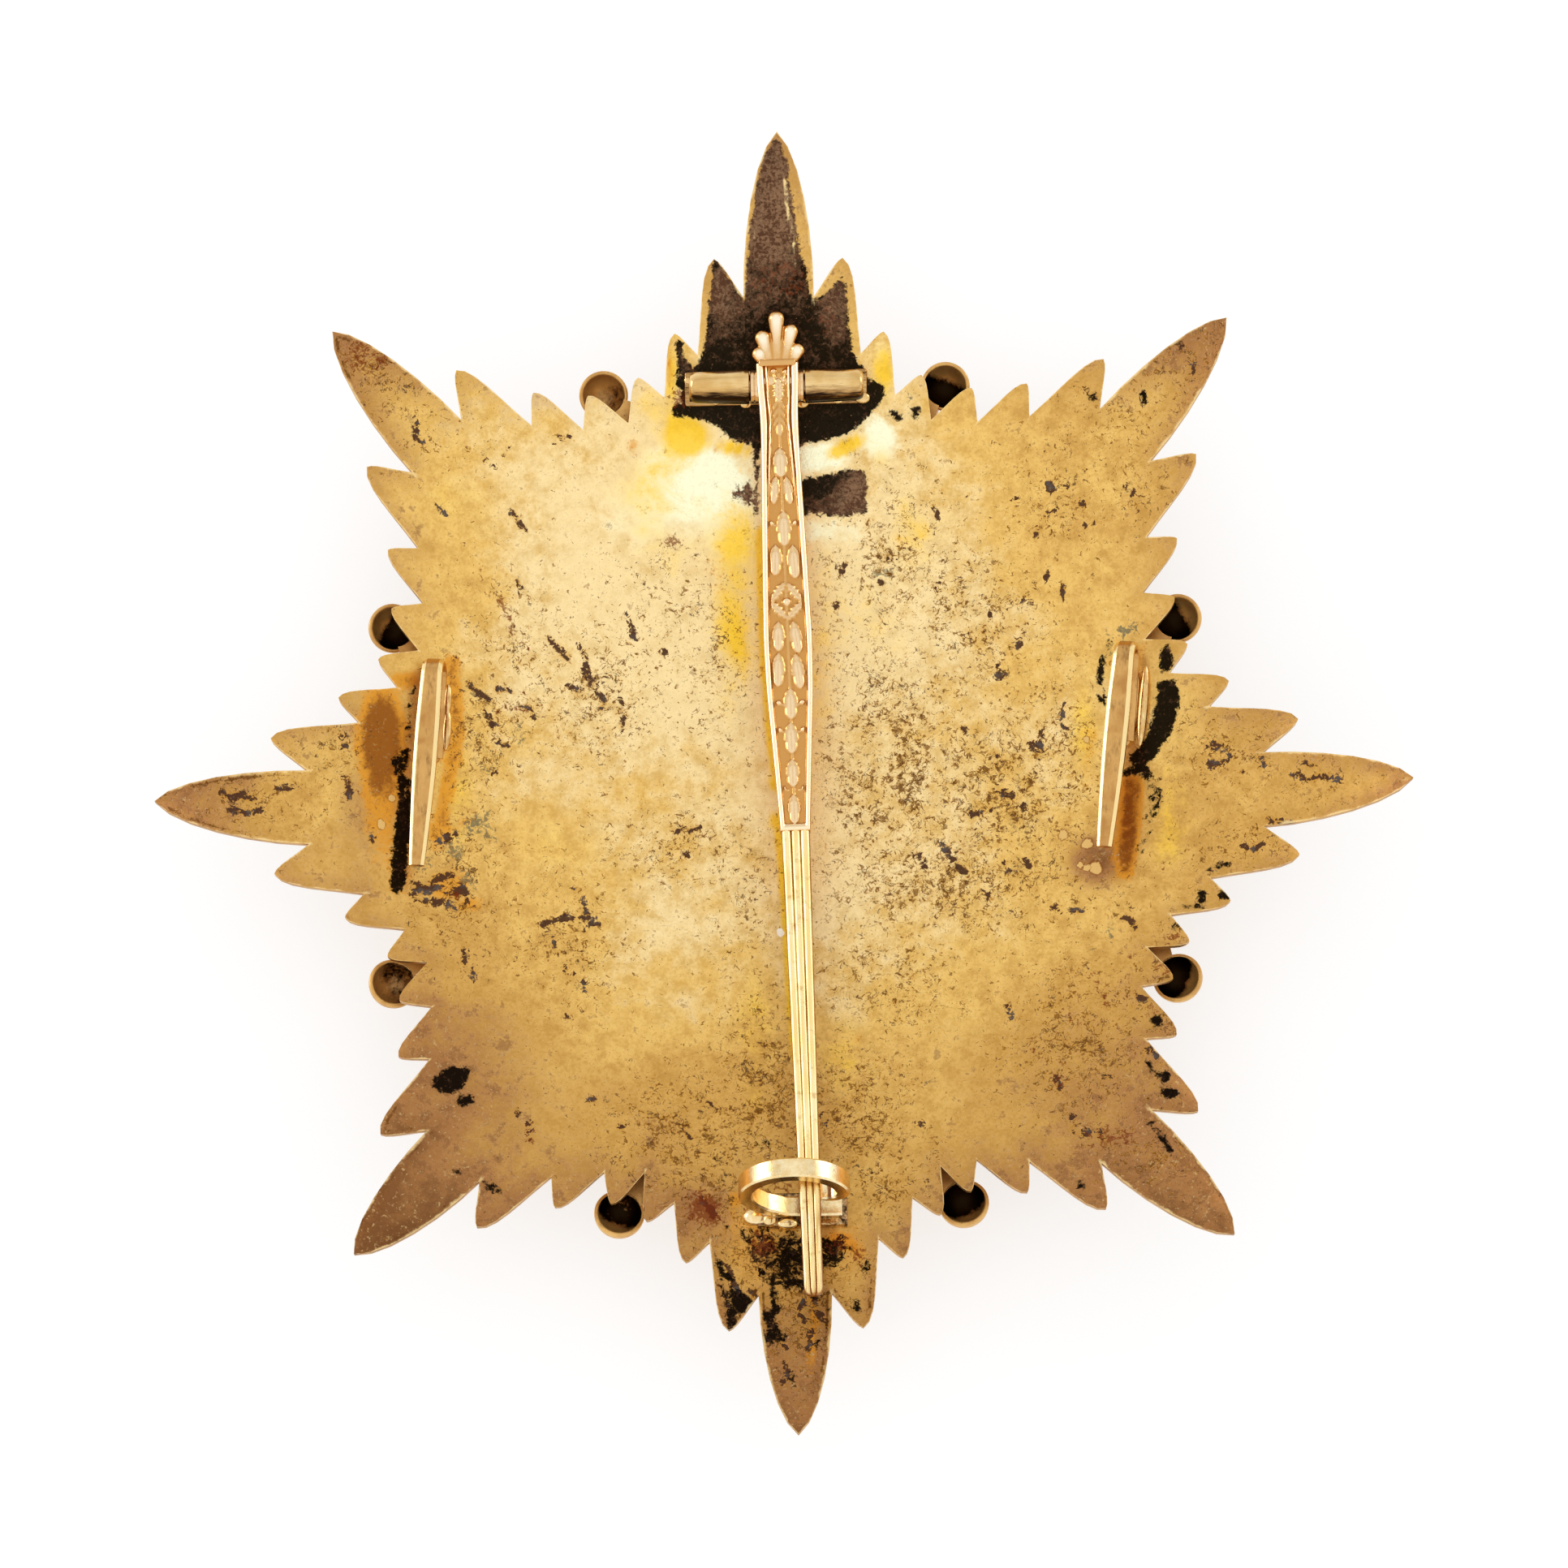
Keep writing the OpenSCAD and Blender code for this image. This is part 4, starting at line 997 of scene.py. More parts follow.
# %% Gilding and its age
def gilding(p, m):
    """Clean gilt in three tones, partly a painted bright reflection, browned, with painted glare and a warm
    yellow over it.
    """
    tone = p.attribute("tone") + (m.bloom - 0.5) * 1.3 + (m.patch - 0.5) * 1.1 + (m.mottle - 0.5) * 0.5
    m.calm = 1.0 - tone.step(0.6, 1.2) * 0.6
    brown = p.attribute("brown") + (m.patch - 0.5) * 1.1 + (m.mottle - 0.5) * 0.8 + (m.grain - 0.5) * 0.4
    m.browned = brown.step(0.15, 1.05)
    yellow = (p.attribute("yellow") + (m.patch - 0.5) * 0.8 + (m.mottle - 0.5) * 0.5).step(0.15, 0.75)
    m.glare = (p.attribute("glare") + (m.mottle - 0.5) * 0.8 + (m.patch - 0.5) * 0.6).step(0.2, 0.7)
    colour = p.mix(tone.step(0.0, 0.5), OLIVE, GOLD)
    colour = p.mix(tone.step(0.45, 1.0), colour, PALE)
    colour = p.mix(m.browned, colour, BROWN)
    colour = p.mix(brown.step(0.95, 1.7), colour, DEEP)
    colour = p.mix(m.glare, colour, PAINTED_GLARE_COLOUR)
    return p.mix(yellow * 0.9, colour, YELLOW)


def clouds(p, m, colour):
    """Soft shade where the metal isn't clean, and brown blotches in it."""
    cloud = m.mottle * 0.35 + m.grain * 0.3 + m.ragged * 0.35
    shade = 1.0 - cloud.step(0.4, 0.58)
    colour = p.mix(shade * m.calm * (1.0 - m.glare * 0.9) * 0.46, colour, SHADE, "MULTIPLY")
    blotch = (m.mottle + p.attribute("brown") * 0.13 + (m.specks - 0.5) * 0.6).step(0.64, 0.74)
    return p.mix(blotch * 0.5, colour, DEEP)


def stains(p, m, colour):
    """Lacquer, amber where it is thin and brown where it is thick, and green beside it."""
    lacquer = p.attribute("lacquer") + (m.mottle - 0.5) * 0.6 + (m.ragged - 0.5) * 0.5
    colour = p.mix(lacquer.step(0.34, 0.62) * 0.85, colour, AMBER)
    colour = p.mix(lacquer.step(0.62, 0.95) * 0.85, colour, LACQUER)
    green = (p.attribute("green") + (m.specks - 0.5) * 1.6).step(0.5, 0.66)
    return p.mix(green * 0.75, colour, GREEN)


# %% [markdown]
# Flecks are where a noise rises over a threshold, and the charted density lifts that noise, so they
# crowd where the chart says. The same noise with a lower threshold gives each fleck its halo. Worms
# are thin lines where another noise passes through its middle.


# %% Flecks, worms and squiggles
def flecks(p, m, colour):
    """Dark flecks of two sizes with their halos, short worm lines and a fine dust."""
    density = p.attribute("fleck") * (0.25 + m.crowd.step(0.3, 0.6) * 0.75) - m.glare * 0.7
    large = density * 0.19 + m.specks
    small = density * 0.17 + m.ragged
    m.fleck = large.step(0.695, 0.735)
    colour = p.mix(large.step(0.645, 0.71).most(small.step(0.63, 0.69)) * 0.55, colour, HALO)
    colour = p.mix(small.step(0.665, 0.7) * 0.66, colour, DARK)
    colour = p.mix(m.fleck * 0.84, colour, DARK)
    worm = 1.0 - (m.curl - 0.5).size().step(0.006, 0.014)
    worm = worm * (density * 0.32 + m.ragged).step(0.6, 0.65)
    colour = p.mix(worm * 0.8, colour, INKY)
    dust = (m.grain + m.mottle * 0.6).step(0.96, 1.1) * (1.0 - m.glare)
    return p.mix(dust * 0.3, colour, BROWN)


def fine_grain(p, m, colour):
    """Dark and bright grains, most of them where the metal is brown."""
    dark = (m.grain * 0.6 + m.ragged * 0.4).step(0.5, 0.62)
    pale = (m.grain * 0.5 + m.specks * 0.5).step(0.54, 0.66)
    colour = p.mix(dark * (m.browned * 0.4 + 0.1), colour, DEEP)
    return p.mix(pale * (m.browned * 0.3 + 0.1), colour, EDGE)


def squiggles(p, m, colour):
    """The charted squiggles in a warm halo, and a painted shadow along the outline."""
    m.ink = (p.attribute("ink") + (m.ragged - 0.5) * 1.6 + (m.mottle - 0.5) * 0.5).step(0.46, 0.56)
    halo = (p.attribute("ink") + (m.ragged - 0.5) * 1.4).step(0.38, 0.52)
    # Painted shadow in a thin line along the outline.
    seam = (p.attribute("seam") + (m.patch - 0.5) * 1.6 + (m.ragged - 0.5) * 0.9).step(0.5, 0.7)
    colour = p.mix(halo * 0.5, colour, HALO)
    colour = p.mix(m.ink * 0.94, colour, p.mix(m.crowd.step(0.52, 0.64), INKY, BLUE_GREY))
    return p.mix(seam * 0.75, colour, DARK)


# %% [markdown]
# Soot lies over all that, and the painted dark reflections lie with it. Where it is thick it is black,
# and where it is thin it is a brown ash with grain in it. After it came rust-red marks, bright streaks,
# the bare round spots and the wear along the edges, so these are laid on last. The streaks on the north
# ray are painted highlights.


# %% Soot, painted dark reflections, painted highlights and wear
def soot_over(p, m, colour):
    """Ash, black soot and painted dark reflection on their thick parts, and specks of brown in them."""
    m.soot = (p.attribute("soot") + (m.mottle - 0.5) * 0.7 + (m.ragged - 0.5) * 0.9).step(0.4, 0.58)
    murk = (p.attribute("murk") + (m.patch - 0.5) * 1.2 + (m.mottle - 0.5) * 1.4
            + (m.ragged - 0.5) * 1.4 + (m.grain - 0.5))
    paler = (m.grain + (m.specks - 0.5) * 0.8 + (m.mottle - 0.5) * 0.6).step(0.36, 0.66)
    laid = p.mix(murk.step(0.1, 0.75), p.mix(paler, SOOT, ASH), BLACK)
    laid = p.mix((m.specks + m.grain * 0.4).step(0.76, 0.88) * 0.5, laid, SOOT)
    laid = p.mix((m.ragged * 0.5 + m.grain * 0.5).step(0.62, 0.68) * 0.5, laid, BROWN)
    return p.mix(m.soot * 0.99, colour, laid)


def wear(p, m, colour):
    """Rust-red marks, bright streaks, round bare spots and worn edges; the streaks on the north ray are
    painted highlights.
    """
    rust = (p.attribute("rust") + (m.specks - 0.5) * 1.8).step(0.5, 0.64)
    # Streaks: painted highlights on the north ray, and bright streaks by the hinge.
    streak = (p.attribute("streak") + (m.ragged - 0.5) * 1.5).step(0.4, 1.0)
    colour = p.mix(rust * (0.75 - m.soot * 0.35), colour, RUST)
    colour = p.mix(streak * 0.85, colour, EDGE)
    for place, r, white in spots:
        far = p.from_point(place) + (m.mottle - 0.5) * 0.9 + (m.grain - 0.5) * 0.2
        ring = (1.0 - far.step(r * 1.2, r * 1.4)) * (0.0 if white else 0.6)
        colour = p.mix(ring, colour, LACQUER)
        colour = p.mix(1.0 - far.step(r * 0.9, r * 1.15), colour, WHITE if white else BARE)
    worn = (p.attribute("edge") + (m.mottle - 0.5) * 0.3).step(0.93, 1.01)
    return p.mix(worn * 0.7, colour, EDGE)


def plate_finish():
    p = Paint("plate_gilt")
    m = plate_patterns(p)
    colour = gilding(p, m)
    for lay_on in (clouds, stains, flecks, fine_grain, squiggles, soot_over, wear):
        colour = lay_on(p, m, colour)
    scratch = p.noise(2.2, 2, 0.5, stretch=(1, 0.06, 1), turn=(0, 0, 0.9))
    roughness = 0.34 + m.browned * 0.1 + m.fleck * 0.15 + (m.grain - 0.5) * 0.16 - m.glare * 0.06
    metallic = 1.0 - m.fleck * 0.04 - m.soot * 0.03
    height = m.grain * 0.5 + m.mottle * 0.8 + scratch * 0.35 - m.fleck * 0.5 - m.ink * 0.5
    return p.finish(colour, roughness, metallic, height, 0.016 * MM)


plate_gilt = plate_finish()
hang(into_place(star), "star", "plate_gilt", plate_gilt, "star_plate")

# %% [markdown]
# The other pieces share one recipe with their own colours: cast or drawn metal, gilt, browned in
# patches and paler in others. Soot, painted shade, painted dark reflections and painted highlights are
# kept with the pieces that have them.


# %% A recipe for the fittings
# The colour of painted highlights on the fittings.
HIGHLIGHT_GOLD = srgb(254, 228, 164)


def fitting_finish(name, colours, scale=1.0, soil=0.5, rough=0.3, streak=(1, 1, 1), metal=1.0,
                   sooty=False, bright=False):
    """Gilt fitting: bloom between two golds, brown soil, a few dark specks and fine scratches."""
    p = Paint(name)
    pale, gold, brown, dark = (srgb(*colour) for colour in colours)
    bloom = p.noise(0.5 * scale, 3, 0.55)
    mottle = p.noise(2.6 * scale, 4, 0.65, stretch=streak)
    grain = p.noise(9.0 * scale, 2, 0.6, stretch=streak)
    colour = p.mix((bloom + (mottle - 0.5) * 0.5).step(0.3, 0.7), gold, pale)
    soiled = (mottle + (bloom - 0.5) * 0.8 + soil - 0.5).step(0.55, 0.95)
    colour = p.mix(soiled * 0.8, colour, brown)
    speck = (grain + mottle * 0.5).step(0.95, 1.05)
    colour = p.mix(speck * 0.6, colour, dark)
    metallic = metal - speck * 0.3
    # One value holds soot on some pieces, painted shade in the cups' hollows and painted dark reflections on
    # the hinge tubes; it browns the metal and darkens it nearly to black.
    if sooty:
        soot = p.attribute("sooty") + (mottle - 0.5) * 1.1 + (grain - 0.5) * 0.4
        darkness = soot.step(0.5, 0.8)
        colour = p.mix(soot.step(0.15, 0.6) * 0.8, colour, brown)
        colour = p.mix(darkness * 0.98, colour, dark)
        metallic = metallic + darkness * (1.0 - metal)
    # Painted highlight, on pieces that keep one.
    if bright:
        shine = (p.attribute("bright") + (mottle - 0.5) * 1.2).step(0.4, 0.9)
        colour = p.mix(shine * 0.9, colour, HIGHLIGHT_GOLD)
    roughness = rough + soiled * 0.15 + (grain - 0.5) * 0.15
    return p.finish(colour, roughness, metallic, grain * 0.5 + mottle, 0.012 * MM)


fitting_gilt = fitting_finish(
    "fitting_gilt", [(240, 208, 148), (218, 176, 108), (150, 104, 54), (40, 26, 16)],
    soil=0.42, rough=0.18, streak=(0.12, 1, 1), sooty=True)
cross_gilt = fitting_finish(
    "cross_gilt", [(232, 186, 110), (196, 146, 78), (128, 84, 40), (20, 12, 5)],
    scale=0.6, rough=0.38, metal=0.6, sooty=True)
boss_gilt = fitting_finish(
    "boss_gilt", [(240, 206, 130), (206, 158, 84), (140, 92, 44), (56, 34, 16)], scale=0.4, rough=0.32)
axle_metal = fitting_finish(
    "axle_metal", [(214, 190, 150), (170, 138, 96), (96, 66, 40), (40, 26, 16)], soil=0.6, rough=0.35)
print("materials so far:", len(bpy.data.materials))

# %% [markdown]
# The cross on the front shows from behind only by the hollow balls at its tips. Its solid keeps its
# arms, and each ball gets a finer cup with a rolled rim. The cup is drawn out once from its section and
# copied, and the solid is cut away where each copy sits.

# %% A cup for the cross's tips
CUP_OUT = 1.7
CUP_IN = 1.42
CUP_CUT = 1.5
POLE = 0.04
RIM_GAP = 0.4

rim_middle, rim_r = (CUP_OUT + CUP_IN) / 2, (CUP_OUT - CUP_IN) / 2
profile = [(CUP_OUT * math.sin(a), -CUP_OUT * math.cos(a)) for a in np.linspace(POLE, math.pi / 2, 12)]
profile += [(rim_middle + rim_r * math.cos(a), rim_r * 0.8 * math.sin(a))
            for a in np.linspace(RIM_GAP, math.pi - RIM_GAP, 7)]
profile += [(CUP_IN * math.sin(a), -CUP_IN * math.cos(a)) for a in np.linspace(math.pi / 2, POLE, 10)]
angles = np.linspace(0, 2 * math.pi, 40, endpoint=False)
cup = draw_out("ball_cup", [[(r * math.cos(a), r * math.sin(a), z) for a in angles] for r, z in profile])
cup_points = points_of(cup)
inner = np.hypot(np.hypot(cup_points[:, 0], cup_points[:, 1]), cup_points[:, 2]) < CUP_IN + 0.05
# Painted shade in the cup's hollow: dark on one side, leaving a lit crescent on the other.
shaded_side = 1.15 - 2.0 * np.clip(cup_points[:, 0] / CUP_IN + 0.05, 0, 1)
keep_values(cup, "sooty", np.where(inner, np.clip(shaded_side, 0, 1.1), 0.0))
print("cup points:", len(cup_points))

# %% [markdown]
# The balls stand in pairs at the ends of the four arms, each a little off its true place, as on the
# real cross. Each line below is an arm's angle, the side of it, the ball's way off its place to the
# right and up, and how dark the painted shade in its hollow is.

# %% Cross and ball tips
STRETCH = 89.2 / 84.2
TIP_REACH = 29.15
TIP_ANGLE = 23.6
BALL_DEPTH = 2.1
BALLS = [(0, -1, -0.35, -0.9, 1.0), (0, 1, 0.45, -0.55, 1.0), (90, -1, 0, 0.3, 1.0), (90, 1, -0.3, 0.1, 0.5),
         (180, -1, 0.1, -0.2, 1.0), (180, 1, 0.1, -0.3, 0.55), (270, -1, 0.15, -0.4, 0.8),
         (270, 1, -0.15, -0.1, 0.9)]


def ball_frame(arm, side, right, up):
    """Where a ball stands: on the sphere of the back, a little deeper."""
    a = math.radians(arm + side * TIP_ANGLE)
    x = TIP_REACH * math.cos(a) + right
    y = TIP_REACH * math.sin(a) * STRETCH + up
    lean = math.asin(math.hypot(x, y) / (BOWL_R + BALL_DEPTH))
    return (Matrix.Translation((0, 0, BOWL_Z)) @ Matrix.Rotation(math.atan2(y, x), 4, "Z")
            @ Matrix.Rotation(-lean, 4, "Y") @ Matrix.Translation((0, 0, -BOWL_R - BALL_DEPTH)))


solid_cross = copy_of("cross", "front_cross")
outwards(solid_cross)
cups = []
for arm, side, right, up, darkness in BALLS:
    where = ball_frame(arm, side, right, up)
    one = cup.copy()
    one.data = cup.data.copy()
    one.data.transform(where)
    keep_values(one, "sooty", values_of(one, "sooty") * darkness)
    scene.collection.objects.link(one)
    cups.append(one)
    cutter = ball("cutter", (CUP_CUT, CUP_CUT, CUP_CUT), (0, 0, 0), 32, 20)
    cutter.data.transform(where)
    modify(solid_cross, "BOOLEAN", object=cutter, operation="DIFFERENCE", solver="EXACT")
    bpy.data.objects.remove(cutter)
bpy.data.objects.remove(cup)
cross = joined("front_cross", solid_cross, *cups)
alone(cross)
bpy.ops.object.shade_smooth_by_angle(angle=math.radians(35))
hang(into_place(cross), "star", "cross_gilt", cross_gilt, "cross")

# %% [markdown]
# The boss is the round stud in the middle of the front, and the star rests on it. Its solid is fine
# enough already, so a smooth copy is all that it needs.

# %% Boss on the front
boss = copy_of("centre_boss", "front_boss")
tidy_shape(boss, 30)
hang(into_place(boss), "star", "boss_gilt", boss_gilt, "centre_boss")

# %% [markdown]
# The hinge is two drawn tubes, soldered side by side into a shallow tray. Each tube tapers a little
# to its outer end, where its rim was hammered round. A section is drawn out for each tube, because a
# plain cylinder would have neither the taper nor the rolled rim.

# %% Hinge tubes
TUBE_R = 1.2
BORE_R = 0.5
TUBES = [(-1.88, -5.98), (1.94, 5.95)]


def round_ring(x, radius, corners=56):
    return [(x, radius * math.cos(a), radius * math.sin(a))
            for a in np.linspace(0, 2 * math.pi, corners, endpoint=False)]


def hinge_tube(inner, outer):
    """One tube from its inner end to its outer end, by the steps and radii of its section."""
    way = 1 if outer > inner else -1
    size = abs(outer - inner)
    stops = [(0.5, BORE_R), (0, BORE_R), (0, TUBE_R - 0.08), (0.03, TUBE_R - 0.02), (0.08, TUBE_R),
             (0.45, TUBE_R - 0.01), (size * 0.5, TUBE_R - 0.07), (size - 0.5, TUBE_R - 0.15),
             (size - 0.25, TUBE_R - 0.2), (size - 0.08, TUBE_R - 0.32), (size, TUBE_R - 0.48),
             (size - 0.01, BORE_R + 0.06), (size - 0.06, BORE_R), (size - 0.6, BORE_R)]
    return draw_out("tube", [round_ring(inner + way * s, r) for s, r in stops])


hinge_frame = Matrix.Translation((0, HINGE.y, HINGE.z))
tubes = []
for inner, outer in TUBES:
    tube = hinge_tube(inner, outer)
    # Painted dark reflections on the tube, strongest on its south side and along its north side, kept in the
    # soot-and-shade value.
    up = points_of(tube)[:, 1] / TUBE_R
    under, over = np.clip((-up - 0.12) * 1.25, 0, 0.9), np.clip((up - 0.5) * 1.5, 0, 0.6)
    keep_values(tube, "sooty", np.where(up < 0, under, over))
    tube.data.transform(hinge_frame)
    tubes.append(tube)
print("tubes:", len(tubes))

# %% [markdown]
# The tray is a block whose top is inset and pushed down, which leaves a lip all round. A web fills the
# space under each tube, and blobs of solder run where the metal meets. Each blob is a flattened ball,
# given by its place and its size.

# %% Tray and solder
TRAY_LOW, TRAY_HIGH = (-6.35, -1.3, 0.0), (6.25, 1.12, 0.5)
LIP = 0.14
TRAY_RISE = 2.4
WEB_HALF, WEB_FROM, WEB_TO = 0.62, 0.2, 1.7
DROPS = [(-2.15, -1.18, 0.35, 0.32), (1.75, -1.2, 0.35, 0.36), (5.9, -0.9, 0.4, 0.42), (-6.0, 0.5, 0.35, 0.3),
         (-4.2, -0.95, 0.4, 0.3), (4.2, -1.0, 0.38, 0.3)]

tray_frame = on_back(HINGE.y, TRAY_RISE)
tray = block("tray", TRAY_LOW, TRAY_HIGH, 0.2, 3)
edit(tray, "FACE")
mesh = bmesh.from_edit_mesh(tray.data)
for face in mesh.faces:
    face.select_set(face.normal.z > 0.99)
bmesh.update_edit_mesh(tray.data)
bpy.ops.mesh.inset(thickness=LIP)
bpy.ops.mesh.extrude_region_move(TRANSFORM_OT_translate={"value": (0, 0, -LIP)})
done()
# The tray is darkened all over, and most on its sunk floor under the tubes.
keep_values(tray, "sooty", [1.0 if point.select else 0.5 for point in tray.data.vertices])
fillings = []
for inner, outer in TUBES:
    low_x, high_x = sorted((inner, outer * 0.96))
    fillings.append(block("web", (low_x, -WEB_HALF, WEB_FROM), (high_x, WEB_HALF, WEB_TO), 0.1))
for x, y, z, size in DROPS:
    fillings.append(ball("solder_drop", (size * 1.3, size, size * 0.7), (x, y, z), 16, 10))
for part in (tray, *fillings):
    part.data.transform(tray_frame)
hinge = joined("hinge_tubes_and_tray", tray, *tubes, *fillings)
tidy_shape(hinge, 38)
hang(into_place(hinge), "star", "fitting_gilt", fitting_gilt, "hinge_mount")

# %% [markdown]
# The axle is a plain wire through both tubes and the pin's barrel, with its ends rounded by a hammer.

# %% Axle
AXLE = [(-5.78, 0.3), (-5.72, 0.42), (-5.6, 0.455), (5.57, 0.455), (5.69, 0.42), (5.75, 0.3)]
axle = draw_out("hinge_wire", [round_ring(x, r) for x, r in AXLE])
axle.data.transform(hinge_frame)
tidy_shape(axle, 50)
hang(into_place(axle), "star", "axle_metal", axle_metal, "hinge_axle")

# %% [markdown]
# The brooch pin's bar is a casting: a long panel between raised borders, with a spray of leaves,
# buds and berries along it. Real patterns for such bars were cut in wax. Here a fine grid is laid
# over the bar's outline, and its points are raised leaf by leaf, as a carver would, with a little
# smoothing at the end for the softness of the casting. The grid's columns crowd towards the edges,
# where the border needs them.

# %% The bar's outline and grid
BAR = [(-1.2, 1.42), (0.2, 1.42), (2.7, 1.28), (5, 1.3), (12, 1.5), (18.5, 1.65), (22, 1.58), (27, 1.28),
       (31.9, 1.0)]
BAR_FROM, BAR_TO = BAR[0][0], BAR[-1][0]
BAR_UNDER = 0.45
PANEL = 1.10
RIM = 0.25
COLUMNS, ROWS = 72, 640
CROWD = 0.92 * math.pi


def half_width(d):
    """Half the bar's width, at a distance from the hinge, without corners between the measures."""
    return sum(np.interp(d + s, *zip(*BAR)) for s in (-0.9, -0.45, 0, 0.45, 0.9)) / 5


bpy.ops.object.select_all(action="DESELECT")
bpy.ops.mesh.primitive_grid_add(x_subdivisions=COLUMNS, y_subdivisions=ROWS, size=1)
bar = named(bpy.context.object, "bar")
grid = points_of(bar)
side = np.sin(grid[:, 0] * CROWD) / math.sin(CROWD / 2)
along = BAR_FROM + (0.5 - grid[:, 1]) * (BAR_TO - BAR_FROM)
sideways = side * half_width(along)
from_edge = np.minimum(half_width(along) - np.abs(sideways), BAR_TO - along)
print("bar grid points:", len(grid))

# %% [markdown]
# The carver's tools are a leaf, a berry, a stem and a hanging spray of lobes. Each raises the grid's
# points to its own height where that is higher than what is there, so leaves may overlap in any
# order. A leaf is given by its place, half its length and width, its lean in degrees and its height.

# %% Tools for the relief
height = np.zeros(len(grid))


def smooth(low, high, value):
    t = np.clip((value - low) / (high - low), 0, 1)
    return t * t * (3 - 2 * t)


def carve(shape):
    """Raises the relief to a shape, where that is higher."""
    np.maximum(height, shape, out=height)


def leaflet(x, d, long, wide, lean, tall, rib=0.05, teeth=0.0, blunt=2.2):
    """Raises one pointed leaf with a groove for its rib, and a toothed edge if it has one."""
    u, v = leaned(sideways - x, along - d, lean)
    t = np.clip(np.abs(v) / long, 0, 1)
    edge_at = wide * (1 - t ** blunt) ** 0.55 + 1e-4
    if teeth:
        edge_at = edge_at * (1 + teeth * np.cos(v * 2 * math.pi / (long * 0.45)))
    inside = np.clip(1 - (u / edge_at) ** 2, 0, 1) * (np.abs(v) < long)
    body = tall * inside ** 0.8
    body = body - (inside > 0) * rib * np.exp(-(u / 0.06) ** 2)
    veins = 0.5 + 0.5 * np.cos((v + np.abs(u) * 1.1) * 2 * math.pi / 0.34)
    carve(body - (inside > 0) * teeth * 0.09 * veins)


def berry(x, d, size=0.2, tall=0.2):
    inside = np.clip(1 - ((sideways - x) ** 2 + (along - d) ** 2) / size ** 2, 0, 1)
    carve(tall * np.sqrt(inside))


def stem(tall, width, *line):
    far = off_line(sideways, along, line)
    carve(tall * np.sqrt(np.clip(1 - (far / width) ** 2, 0, 1)))


def spray(x, d, long, wide, lean=0.0, tall=0.19):
    """A hanging leaf: a long lobe with a round end, and pairs of small lobes beside its upper half."""
    c, s = math.cos(math.radians(lean)), math.sin(math.radians(lean))
    for way in (-1, 1):
        for back, out, size in [(-0.58, 0.3, 0.3), (-0.3, 0.5, 0.32), (0.0, 0.56, 0.28)]:
            leaflet(x + way * out * wide * c - back * long * s, d + back * long * c + way * out * wide * s,
                    size * long, 0.38 * wide, lean - way * 14, 0.72 * tall, 0.03)
    leaflet(x - 0.22 * long * s, d + 0.22 * long * c, 0.78 * long, 0.78 * wide, lean, tall, 0.055, blunt=4.5)
    leaflet(x + 0.5 * long * s, d - 0.5 * long * c, 0.5 * long, 0.4 * wide, lean, 0.8 * tall, 0.02)


print("flat panel:", len(height), "points at", PANEL, "mm")

# %% [markdown]
# The pattern runs down from the hinge, and every place in it is read off the photograph, in mm across
# the bar and along it. The sprays hang in single file where the bar is narrow and in pairs where it is
# wide, with toothed leaves round a berry in the middle.

# %% Carve the relief
SPRAYS = [(-0.04, 5.9, 1.05, 0.6, 0, 0.2), (-0.5, 7.85, 1.02, 0.38, 7), (0.42, 7.9, 1.02, 0.38, -7),
          (0.03, 10.6, 1.28, 0.56), (-0.64, 12.85, 1.1, 0.53, 3), (0.63, 13.0, 1.2, 0.53, -3),
          (-0.64, 18.25, 1.05, 0.5, 2), (0.55, 18.35, 1.15, 0.5, -8), (-0.74, 20.6, 1.2, 0.52, 3),
          (0.6, 20.75, 1.25, 0.52, -6), (0.02, 23.0, 1.1, 0.55), (-0.03, 25.4, 1.1, 0.54),
          (-0.03, 27.85, 0.98, 0.52), (-0.03, 30.35, 1.05, 0.5)]
TOOTHED = [(-0.55, 15.15, -37), (0.58, 15.2, 37), (-0.58, 16.4, 42), (0.55, 16.5, -42)]
TOP_BERRIES = [(-0.27, -0.7), (0.55, -0.62)]
BERRY_PAIRS = [(10.25, 0.84), (22.95, 0.8), (24.85, 0.8), (28.9, 0.72)]
BUDS = (1.75, 2.35, 2.95)

stem(0.07, 0.1, (0.1, -0.5), (0, 3.6), (0, 5.2), (0, 14.4), (0, 31.2))
for x, d in TOP_BERRIES:
    berry(x, d, 0.2, 0.16)
    stem(0.1, 0.08, (x, d + 0.15), (x * 0.7 + 0.05, d + 0.75), (0.05, d + 1.2))
leaflet(0.03, 0.72, 0.85, 0.42, 0, 0.18, 0.05, 0.15)
for d in BUDS:
    for way in (-1, 1):
        leaflet(way * 0.22, d, 0.4, 0.13, way * -24, 0.1, 0.02)
leaflet(0, 3.55, 0.5, 0.26, 0, 0.15, 0.04)
for leaf in SPRAYS:
    spray(*leaf)
for x, d, lean in TOOTHED:
    leaflet(x, d, 0.82, 0.34, -lean, 0.17, 0.05, 0.2)
berry(0.02, 15.86, 0.3, 0.22)
for d, wide in BERRY_PAIRS:
    for way in (-1, 1):
        berry(way * wide, d, 0.19, 0.2)
        stem(0.1, 0.08, (way * wide, d + 0.05), (way * (wide - 0.32), d + 0.16))
print("highest leaf:", round(float(height.max()), 2), "mm")

# %% [markdown]
# The border is a bead that follows the bar's edge, with a second, finer bead inside it near the hinge.
# Smoothing over the neighbours takes the sharpness off. A wide blur of the same relief tells which
# points lie lower than what is round them, and the material paints shade there.

